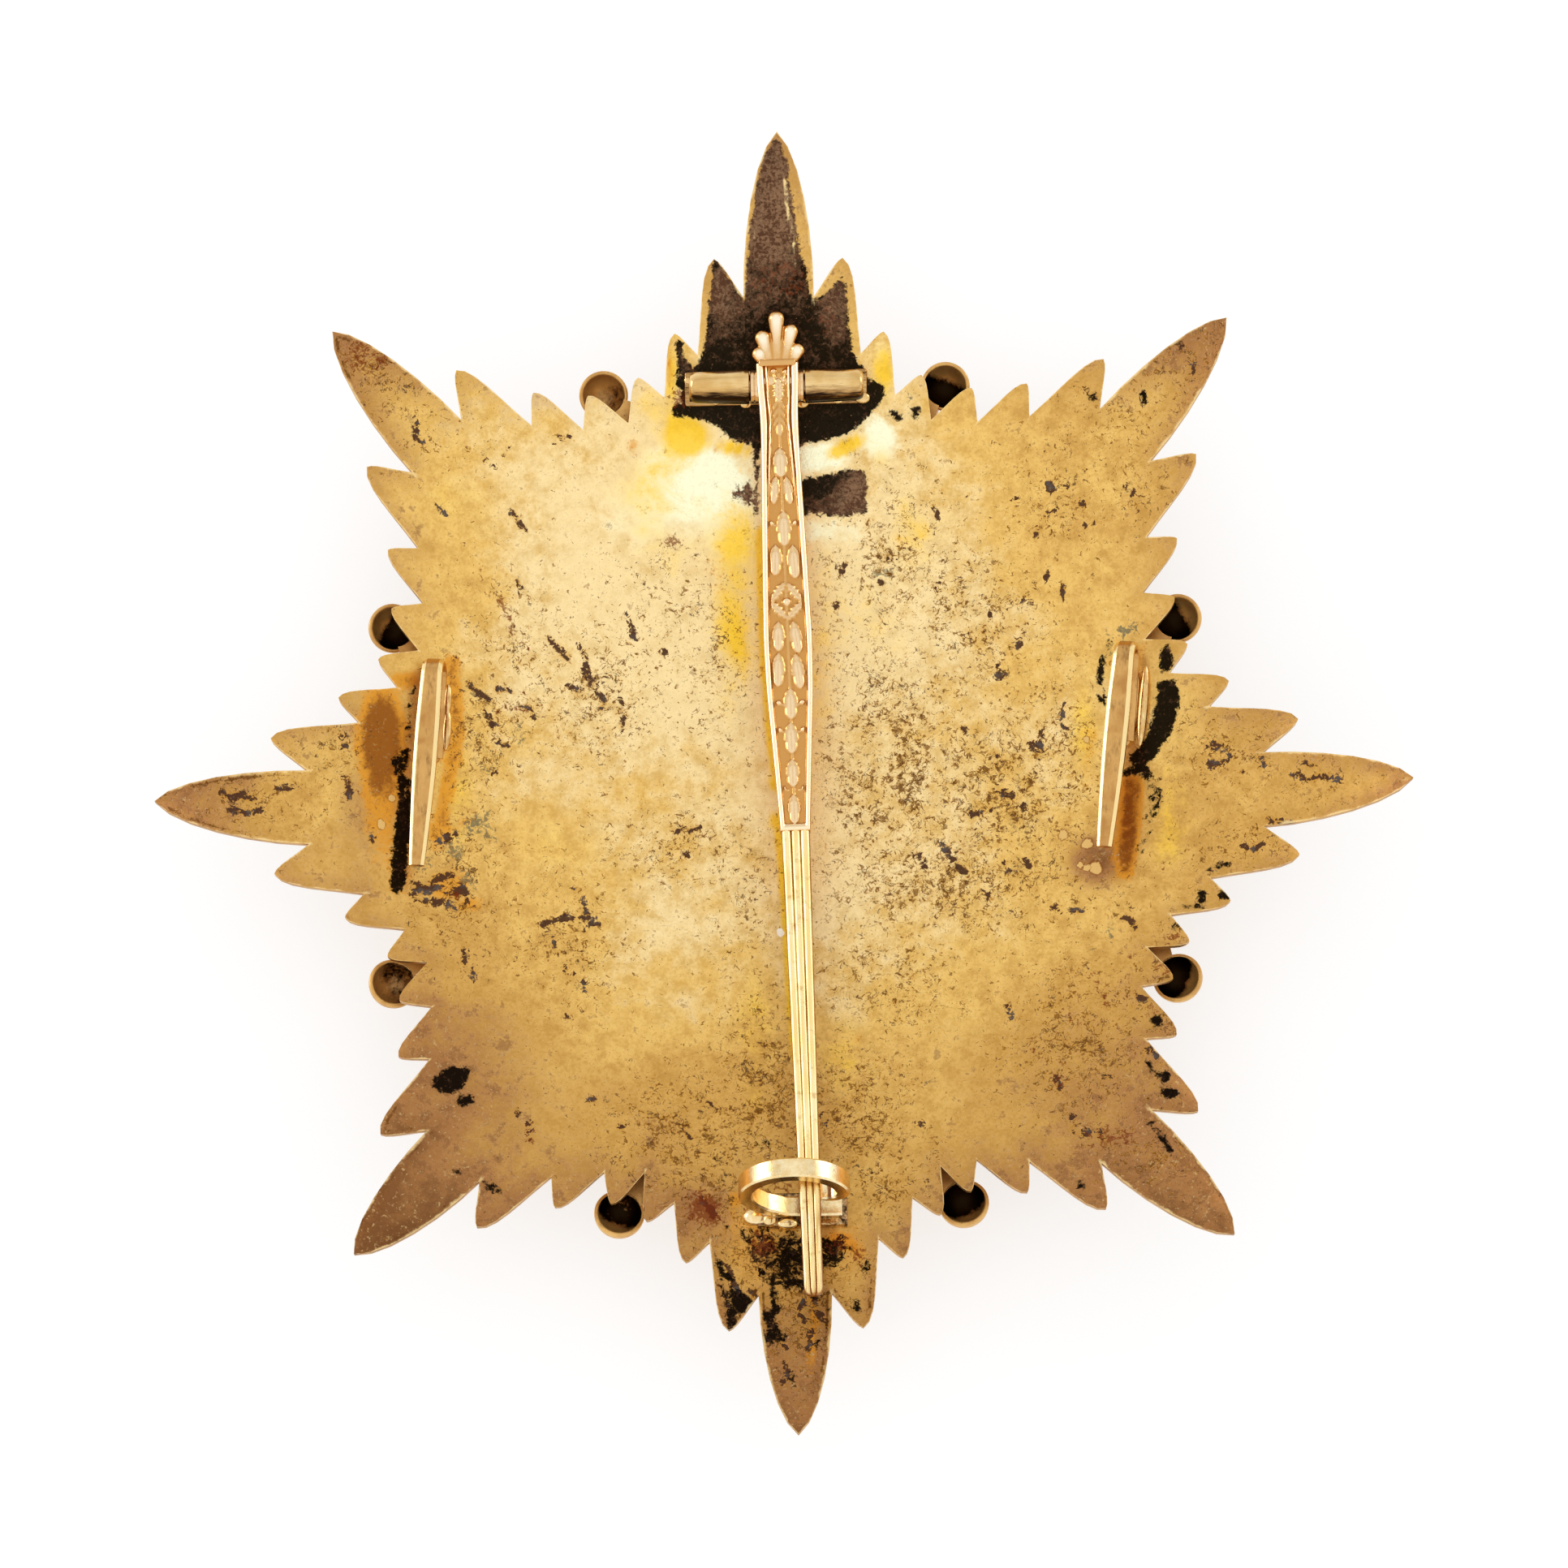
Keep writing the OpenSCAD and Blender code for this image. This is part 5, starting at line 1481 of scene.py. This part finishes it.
# %% Borders and the casting's softness
BORDER = ([-1.2, 3, 5.5, 9, 32], [0.66, 0.66, 0.56, 0.45, 0.4])
ONE_BEAD = (6.0, 10.0)
FINE_BEAD = 0.1
END_BAR = 0.5
BLURS = 8
CAVITY_SHADE_SHARE = 1.6

border = np.interp(along, *BORDER)
one_bead = smooth(*ONE_BEAD, along)
bead_wide = border * (0.4 + 0.1 * one_bead)
outer_bead = RIM * np.sqrt(np.clip(1 - ((from_edge - 0.9 * bead_wide) / bead_wide) ** 2, 0, 1))
fine_bead = np.sqrt(np.clip(1 - ((from_edge - border) / FINE_BEAD) ** 2, 0, 1))
beads = np.maximum(outer_bead, 0.7 * (1 - one_bead) * RIM * fine_bead)
height = np.where(from_edge < border + FINE_BEAD, beads, height)
height = np.maximum(height, 0.6 * RIM * (from_edge > 1.6 * bead_wide) * (along > BAR_TO - END_BAR))


def neighbours(sheet):
    """The sum of the four points beside each point, with the edge repeated."""
    padded = np.pad(sheet, 1, mode="edge")
    return padded[:-2, 1:-1] + padded[2:, 1:-1] + padded[1:-1, :-2] + padded[1:-1, 2:]


sheet = height.reshape(ROWS + 1, COLUMNS + 1)
sheet = (4 * sheet + neighbours(sheet)) / 8
relief = sheet.ravel()
put_points(bar, np.stack([sideways, -along, PANEL + relief], axis=1))
for _ in range(BLURS):
    sheet = neighbours(sheet) / 4
# Painted shade where a point lies lower than what is round it.
sunk = np.clip(sheet.ravel() - relief, 0, 1)
keep_values(bar, "relief", (relief - CAVITY_SHADE_SHARE * sunk) / RIM)
print("relief from", round(float(relief.min()), 2), "to", round(float(relief.max()), 2), "mm")

# %% [markdown]
# So far the bar is a thin skin. Its open edge is drawn down twice, a short way for a crisp corner and
# then to the bar's underside, and a face closes it there.

# %% Close the bar's sides and back
edit(bar, "EDGE")
bpy.ops.mesh.select_all(action="SELECT")
bpy.ops.mesh.region_to_loop()
bpy.ops.mesh.extrude_region_move(TRANSFORM_OT_translate={"value": (0, 0, -0.05)})
bpy.ops.mesh.extrude_region_move(TRANSFORM_OT_translate={"value": (0, 0, -0.1)})
mesh = bmesh.from_edit_mesh(bar.data)
for point in mesh.verts:
    if point.select:
        point.co.z = BAR_UNDER
bmesh.update_edit_mesh(bar.data)
bpy.ops.mesh.edge_face_add()
done()

# %% [markdown]
# Above the hinge the bar ends in a palmette of five fluted lobes over a small cross bar. Each lobe is
# a ball pulled into a drop, and a fine remesh fuses them, with a little smoothing. Each line of LOBES
# is a lobe's tip, the radius there, where its root is and how thick it is.

# %% Palmette
LOBES = [(0.08, 3.92, 0.58, 0.0, 0.46), (-1.03, 2.62, 0.56, -0.42, 0.42), (1.14, 2.98, 0.53, 0.44, 0.42),
         (-1.32, 1.5, 0.54, -0.86, 0.4), (1.62, 1.62, 0.52, 0.9, 0.4)]
LIFT = math.radians(14)
LOBE_RISE = 0.35
WAIST = 0.62
TAIL = 0.3
palmette_frame = Matrix.Translation((0, 1.1, BAR_UNDER)) @ Matrix.Rotation(LIFT, 4, "X")


def neck_and_lean(tip_x, tip_y, tip_r, root_x):
    """How far a lobe's round tip is from its root, and how the lobe leans."""
    return math.hypot(tip_x - root_x, tip_y) - tip_r, math.atan2(tip_x - root_x, tip_y)


def drop_lobe(tip_x, tip_y, tip_r, root_x, thick):
    """A ball pulled out into a drop: round at its tip, narrow and straight to its root."""
    neck, lean = neck_and_lean(tip_x, tip_y, tip_r, root_x)
    lobe = ball("lobe", (1, 1, 1), (0, 0, 0), 28, 24)
    shape = points_of(lobe)
    sine = shape[:, 1].copy()
    to_root = np.clip(-sine, 0, 1)
    ringed = np.sqrt(np.maximum(1 - sine ** 2, 1e-9))
    swell = np.where(sine > 0, 1.0, (1 - WAIST * np.minimum(1.6 * to_root, 1)) / ringed)
    shape[:, 0] *= tip_r * swell
    shape[:, 2] *= thick * swell
    shape[:, 1] = np.where(sine > 0, neck + tip_r * sine, neck * (1 - to_root) - TAIL * to_root)
    put_points(lobe, shape)
    standing = Matrix.Translation((root_x, 0, LOBE_RISE)) @ Matrix.Rotation(-lean, 4, "Z")
    lobe.data.transform(palmette_frame @ standing)
    return lobe


lobes = [drop_lobe(*lobe) for lobe in LOBES]
root = ball("root", (1.4, 2.2, 0.34), (0.08, 0.3, 0.24), 40, 24)
band = block("band", (-1.28, 0.1, 0.0), (1.3, 0.56, 0.98), 0.16, 3)
groove = block("groove", (-1.36, -0.5, 0.0), (1.36, 0.2, 0.6), 0.08)
for part in (root, band, groove):
    part.data.transform(palmette_frame)
palmette = joined("palmette", *lobes, root, band, groove)
modify(palmette, "REMESH", mode="VOXEL", voxel_size=0.05)
modify(palmette, "SMOOTH", factor=0.5, iterations=3)
print("palmette:", len(palmette.data.vertices), "points")

# %% [markdown]
# The remesh leaves no trace of the lobes, but the painted light needs them: a painted highlight along
# each lobe's middle and painted shade between two lobes. So each point measures how far it is off the
# axis of the nearest lobe.

# %% Light and dark on the palmette
to_flat = palmette_frame.inverted()
flat = points_of(palmette) @ np.array(to_flat.to_3x3()).T + np.array(to_flat.translation)
off_axis = np.full(len(flat), 9.0)
at_tip = np.zeros(len(flat))
for tip_x, tip_y, tip_r, root_x, thick in LOBES:
    neck, lean = neck_and_lean(tip_x, tip_y, tip_r, root_x)
    from_root = flat[:, 0] - root_x
    lx = from_root * math.cos(lean) - flat[:, 1] * math.sin(lean)
    ly = from_root * math.sin(lean) + flat[:, 1] * math.cos(lean)
    share = np.clip(ly / neck, 0, 1)
    far = np.hypot(lx, np.maximum(ly - neck, 0)) / (tip_r * (0.5 + 0.5 * share))
    at_tip = np.where(far < off_axis, share, at_tip)
    off_axis = np.minimum(off_axis, far)
on_band = (flat[:, 1] < 0.62) & (flat[:, 1] > 0.0)
# Painted light and shade: bright along a lobe's middle towards its tip, dark between lobes.
lit = (0.3 + 0.7 * at_tip ** 2) * (1.05 - 1.2 * smooth(0.35, 0.95, off_axis))
highlit = (1 - smooth(0.2, 0.6, off_axis)) * smooth(0.6, 1.0, at_tip)
keep_values(palmette, "relief", np.where(on_band, 0.22, lit))
keep_values(palmette, "silver", np.where(on_band, 0.0, highlit))
print("on the band:", int(on_band.sum()), "points")

# %% [markdown]
# The barrel under the bar turns on the axle. It is a tube with a bead at each end, drawn out from its
# section, and bar, palmette and barrel are one casting.

# %% Barrel and the whole cast pin
BARREL = [(-1.3, 0.5), (-1.8, 0.5), (-1.8, 1.05), (-1.76, 1.12), (-1.56, 1.12), (-1.53, 1.04), (-1.5, 1.04),
          (-1.47, 1.14), (1.53, 1.14), (1.56, 1.04), (1.6, 1.04), (1.63, 1.12), (1.82, 1.12), (1.86, 1.05),
          (1.86, 0.5), (1.3, 0.5)]
barrel = draw_out("barrel", [round_ring(x, r) for x, r in BARREL])
keep_values(barrel, "relief", 0.55)
barrel.data.transform(hinge_frame)
for part in (bar, palmette):
    part.data.transform(in_pin)
pin = joined("cast_bar_with_palmette", bar, palmette, barrel)
tidy_shape(pin, 50)


def pin_finish():
    """Cast gilt: brown in the ground of the panel, pale on the tops of the leaves and borders, with painted
    shade beside the leaves and painted light and shade on the palmette.
    """
    p = Paint("pin_gilt")
    bloom = p.noise(0.35, 3, 0.6)
    mottle = p.noise(3.0, 4, 0.65)
    grain = p.noise(10.0, 2, 0.6)
    # On the palmette, relief holds painted light and shade, and on the bar painted shade in its sunk places.
    high = p.attribute("relief") + (mottle - 0.5) * 0.3
    colour = p.mix(high.step(-0.05, 0.3), srgb(208, 152, 82), srgb(220, 172, 108))
    colour = p.mix(high.step(0.25, 0.75), colour, srgb(244, 216, 172))
    colour = p.mix(high.step(0.75, 1.0), colour, srgb(255, 236, 194))
    # Painted shade in the sunk places beside the leaves.
    colour = p.mix((1.0 - high.step(-0.55, -0.05)) * 0.8, colour, srgb(126, 78, 36))
    # Painted highlight on the tips of the palmette's lobes.
    colour = p.mix(p.attribute("silver") * 0.8, colour, srgb(255, 240, 218))
    soiled = (mottle + (bloom - 0.5) * 0.8).step(0.6, 0.9)
    colour = p.mix(soiled * 0.35, colour, srgb(206, 158, 96))
    roughness = 0.22 + soiled * 0.1 + (grain - 0.5) * 0.12
    metallic = 1.0 - (grain + mottle * 0.5).step(0.98, 1.08) * 0.2
    return p.finish(colour, roughness, metallic, grain * 0.5 + mottle, 0.01 * MM)


pin_gilt = pin_finish()
hang(into_place(pin), "pin", "pin_gilt", pin_gilt, "brooch_pin")

# %% [markdown]
# The needle carries on from the bar as three fine ridges side by side, drawn through a shaped plate
# and tapering to a blunt tip. Its section is drawn out along it, narrower at each step, and the last
# steps close the tip.

# %% Needle
NEEDLE_TO = 63.3
NEEDLE_LONG = NEEDLE_TO - BAR_TO
NEEDLE_Z = 0.9
NEEDLE_BACK = 0.45
SPACING = (0.62, 0.4)
RIDGE = (0.36, 0.25)
TIP = [(0.988, 0.97), (0.993, 0.88), (0.997, 0.72), (1.0, 0.45)]
WORN_FROM, WORN_LONG = 54, 4
section = [(ridge, a) for ridge in (-1, 0, 1) for a in np.radians([158, 130, 105, 90, 75, 50, 22])]


def needle_ring(share, shrink=1.0, back=0.0):
    """The needle's outline across, at a share of its length."""
    y = -BAR_TO - NEEDLE_LONG * share + back
    gap = SPACING[0] + (SPACING[1] - SPACING[0]) * share
    r = RIDGE[0] + (RIDGE[1] - RIDGE[0]) * share
    points = [(shrink * (ridge * gap + r * math.cos(a)), y, NEEDLE_Z + shrink * r * math.sin(a))
              for ridge, a in section]
    wide = gap + r * 0.92
    under = NEEDLE_Z - NEEDLE_BACK * (0.6 + 0.4 * shrink)
    points += [(shrink * wide, y, NEEDLE_Z - 0.05), (shrink * wide * 0.96, y, under),
               (-shrink * wide * 0.96, y, under), (-shrink * wide, y, NEEDLE_Z - 0.05)]
    return points


rings = [needle_ring(0.0, back=0.05)]
rings += [needle_ring(t) for t in np.linspace(0.02, 0.982, 40)]
rings += [needle_ring(t, shrink) for t, shrink in TIP]
needle = draw_out("ridged_needle", rings)
tidy_shape(needle, 50)
needle_points = points_of(needle)
ridge_r = np.interp(-needle_points[:, 1], [BAR_TO, NEEDLE_TO], RIDGE)
on_ridge = (needle_points[:, 2] - NEEDLE_Z - 0.3 * ridge_r) / (0.6 * ridge_r)
keep_values(needle, "relief", np.clip(on_ridge, 0, 1))
keep_values(needle, "worn_end", np.clip((-needle_points[:, 1] - WORN_FROM) / WORN_LONG, 0, 1))
needle.data.transform(in_pin)


def needle_finish():
    """Bright gilt ridges, with soil left in the two grooves between them."""
    p = Paint("needle_gilt")
    streaks = p.noise(2.5, 3, 0.6, stretch=(1, 0.08, 1))
    mottle = p.noise(1.2, 3, 0.6)
    grain = p.noise(9.0, 2, 0.6)
    colour = p.mix(streaks.step(0.35, 0.65), srgb(250, 216, 140), srgb(255, 236, 180))
    colour = p.mix((mottle + streaks * 0.3).step(0.7, 0.9) * 0.6, colour, srgb(196, 140, 66))
    high = p.attribute("relief") + (streaks - 0.5) * 1.2 - p.attribute("worn_end") * 0.3
    colour = p.mix((1.0 - high.step(0.15, 0.8)) * 0.9, colour, srgb(150, 84, 32))
    roughness = 0.24 + (grain - 0.5) * 0.12 + mottle * 0.06
    metallic = 1.0 - mottle.step(0.7, 0.9) * 0.2
    return p.finish(colour, roughness, metallic, streaks + grain * 0.3, 0.008 * MM)


hang(into_place(needle), "pin", "needle_gilt", needle_finish(), "needle")

# %% [markdown]
# The catch is one strip: a straight foot on a soldered pad, then a ring, then an end turned inwards
# that keeps the needle from slipping out. The strip's section follows that path, which is given as
# steps of place, direction and thickness, because the strip was filed thinner towards its end.

# %% The catch's strip
RING_R = 3.7
RING_W = 1.35
RING_LEAN = math.radians(4)
PAD_TOP = 0.35
FOOT = [(3.15, -3.45, math.pi, 0.5), (2.0, -3.45, math.pi, 0.5), (0.4, -3.45, math.pi, 0.5),
        (-0.6, -3.38, math.radians(172), 0.62)]
STRIP_THICK, STRIP_THIN, THIN_FROM = 0.95, 0.8, 4.0
CURL_MIDDLE, CURL_R = (2.25, 0.42), 1.02
CURL = [(-12, 0.88), (-35, 0.78), (-58, 0.68), (-80, 0.58), (-100, 0.48), (-118, 0.36)]


def strip_ring(x, z, way, thick, corner=0.12):
    """Section of a strip at a point of its path, way being the path's angle."""
    c, s = math.cos(way), math.sin(way)
    half, side = thick / 2, RING_W / 2
    k = min(corner, 0.4 * thick)
    flat = [(half - k, -side), (half, k - side), (half, side - k), (half - k, side),
            (k - half, side), (-half, side - k), (-half, k - side), (k - half, -side)]
    return [(x + n * -s, w, z + n * c) for n, w in flat]


middle_r = RING_R - STRIP_THICK / 2
path = list(FOOT)
for a in np.radians(np.arange(245, 2, -7)):
    thick = STRIP_THICK if a < THIN_FROM else STRIP_THIN
    path.append((middle_r * math.cos(a), middle_r * math.sin(a), a - math.pi / 2, thick))
for degrees, thick in CURL:
    a = math.radians(degrees)
    path.append((CURL_MIDDLE[0] + CURL_R * math.cos(a), CURL_MIDDLE[1] + CURL_R * math.sin(a),
                 a - math.pi / 2, thick))
catch_frame = on_back(-29) @ Matrix.Translation((0.2, 0, 0))
lean_frame = (catch_frame @ Matrix.Translation((0, 0, PAD_TOP)) @ Matrix.Rotation(RING_LEAN, 4, "X")
              @ Matrix.Translation((0, 0, RING_R)))
ring = draw_out("catch_ring", [strip_ring(*stop) for stop in path])
ring.data.transform(lean_frame)
print("steps along the strip:", len(path))

# %% [markdown]
# The pad spreads the ring's foot over the plate, and too much solder was used: it stands in blobs at
# the pad's left end and in a fillet at the foot of the ring. The pad and the fillet are sooty.

# %% The catch's pad and solder
BLOBS = [((0.95, 0.7, 0.55), (-2.55, -0.45, 0.2)), ((0.5, 0.5, 0.4), (-1.7, -0.75, 0.3)),
         ((0.7, 0.36, 0.34), (-0.5, -1.05, 0.26))]
pad = block("pad", (-2.5, -1.2, -0.25), (3.5, 1.2, PAD_TOP), 0.12, 3)
keep_values(pad, "sooty", 0.62)
blobs = [ball("blob", radii, place) for radii, place in BLOBS]
fillet = ball("fillet", (1.6, 0.75, 0.45), (-1.5, 0.0, 0.45))
keep_values(fillet, "sooty", 0.45)
for part in (pad, *blobs, fillet):
    part.data.transform(catch_frame)
catch = joined("catch_ring_and_pad", ring, pad, *blobs, fillet)
tidy_shape(catch, 42)
catch_gilt = fitting_finish(
    "catch_gilt", [(255, 236, 190), (232, 196, 128), (150, 100, 48), (40, 26, 16)],
    soil=0.42, rough=0.2, sooty=True)
hang(into_place(catch), "star", "fitting_gilt", catch_gilt, "catch")

# %% [markdown]
# Each hook is a strip with bevelled edges: its leg is soldered to the plate, it folds over, and its
# prong comes back above the leg, growing narrower to the end. One path gives both hooks, and solder
# was run along their legs. The faces between the bevels' corners and the runs of solder get a painted
# highlight.

# %% Hooks
HOOK_T = 0.65
HOOK_BEVELS = (4, 5, 8, 9)
FOLD = 1.0 + HOOK_T / 2
LEG = (-5.4, -3, -0.4)
PRONG_LONG = 13.3
PRONG_FROM, PRONG_TO = 2.33, 3.65
PRONG_THINNER = 0.15
PRONG = [(-0.15, 0.68), (0, 0.7), (0.25, 0.79), (0.5, 0.78), (0.65, 0.72), (0.85, 0.61), (1.02, 0.49)]
SOLDER_BED = ((1.1, 3.1, 0.42), (0, -2.7, 0.05))
TIP_BACK = 3.5


def hook_ring(y, z, way, thick, corner=0.25):
    """Section of the hook's strip, with two bevels and as wide as the prong is at y."""
    half_w = float(np.interp(-y / PRONG_LONG, *zip(*PRONG)))
    c, s = math.cos(way), math.sin(way)
    half, k = thick / 2, min(corner, 0.4 * thick)
    drop = 0.6 * k
    flat = [(half - drop, -half_w), (half, k - half_w), (half, half_w - k), (half - drop, half_w),
            (drop - half, half_w), (-half, half_w - k), (-half, half_w - k - 0.05),
            (-half, k + 0.05 - half_w), (-half, k - half_w), (drop - half, -half_w)]
    return [(w, y + n * -s, z + n * c) for n, w in flat]


def hook_path():
    """Leg, fold and prong, as steps of place, direction and thickness."""
    middle = FOLD - HOOK_T / 2
    drop = math.atan2(PRONG_TO - PRONG_FROM, PRONG_LONG)
    path = [(y, HOOK_T / 2, 0, HOOK_T) for y in LEG]
    path += [(middle * math.cos(a), FOLD + middle * math.sin(a), a + math.pi / 2, HOOK_T)
             for a in np.radians(np.arange(-84, 88, 12))]
    return path + [(-PRONG_LONG * t, PRONG_FROM + (PRONG_TO - PRONG_FROM) * t, math.pi - drop,
                    HOOK_T - PRONG_THINNER * t) for t in np.linspace(0.02, 1.0, 16)]


def hook(name, x, y, lean, turned, runs):
    """One hook on the back at x and y, leaning sideways and turned, with its runs of solder."""
    strip = draw_out(name, [hook_ring(*stop) for stop in hook_path()])
    corners = np.array([item.value for item in strip.data.attributes["spot"].data])
    # Painted highlight on the faces between the bevels' corners.
    keep_values(strip, "bright", np.isin(corners, HOOK_BEVELS))
    solder = [ball("bed", *SOLDER_BED, 40, 24)]
    for run_x, run_y, size, long in runs:
        run = ball("solder_run", (size, long, size * 0.9), (run_x, run_y, 0.3), 48, 28)
        # Painted highlight on the solder.
        keep_values(run, "bright", 0.62)
        solder.append(run)
    whole = joined(name, strip, *solder)
    place = Matrix.Translation((x, y, float(back_at(x, y))))
    angle = (Matrix.Rotation(math.radians(turned), 4, "Z") @ Matrix.Rotation(math.radians(-lean), 4, "Y")
             @ Matrix.Rotation(math.radians(TIP_BACK), 4, "X"))
    whole.data.transform(place @ angle)
    tidy_shape(whole, 32)
    return into_place(whole)


left_hook = hook("hook_on_the_left", -23.55, 8.1, 5, -4.2, [
    (-0.85, -0.8, 0.28, 0.5), (-0.9, -2.0, 0.26, 0.8), (-0.88, -3.6, 0.3, 0.9), (-0.8, -4.8, 0.26, 0.5),
    (0.85, -1.4, 0.3, 1.2), (0.92, -3.4, 0.34, 1.4)])
right_hook = hook("hook_on_the_right", 23.75, 8.4, 13, -6.9, [
    (1.22, -2.9, 0.36, 2.8), (-0.9, -1.5, 0.28, 1.0), (-0.85, -4.3, 0.28, 1.0)])
hook_gilt = fitting_finish(
    "hook_gilt", [(228, 180, 108), (190, 138, 76), (140, 94, 50), (70, 42, 18)],
    soil=0.6, rough=0.2, streak=(1, 0.3, 1), bright=True)
hang(left_hook, "star", "fitting_gilt", hook_gilt, "hook_left")
hang(right_hook, "star", "fitting_gilt", hook_gilt, "hook_right")
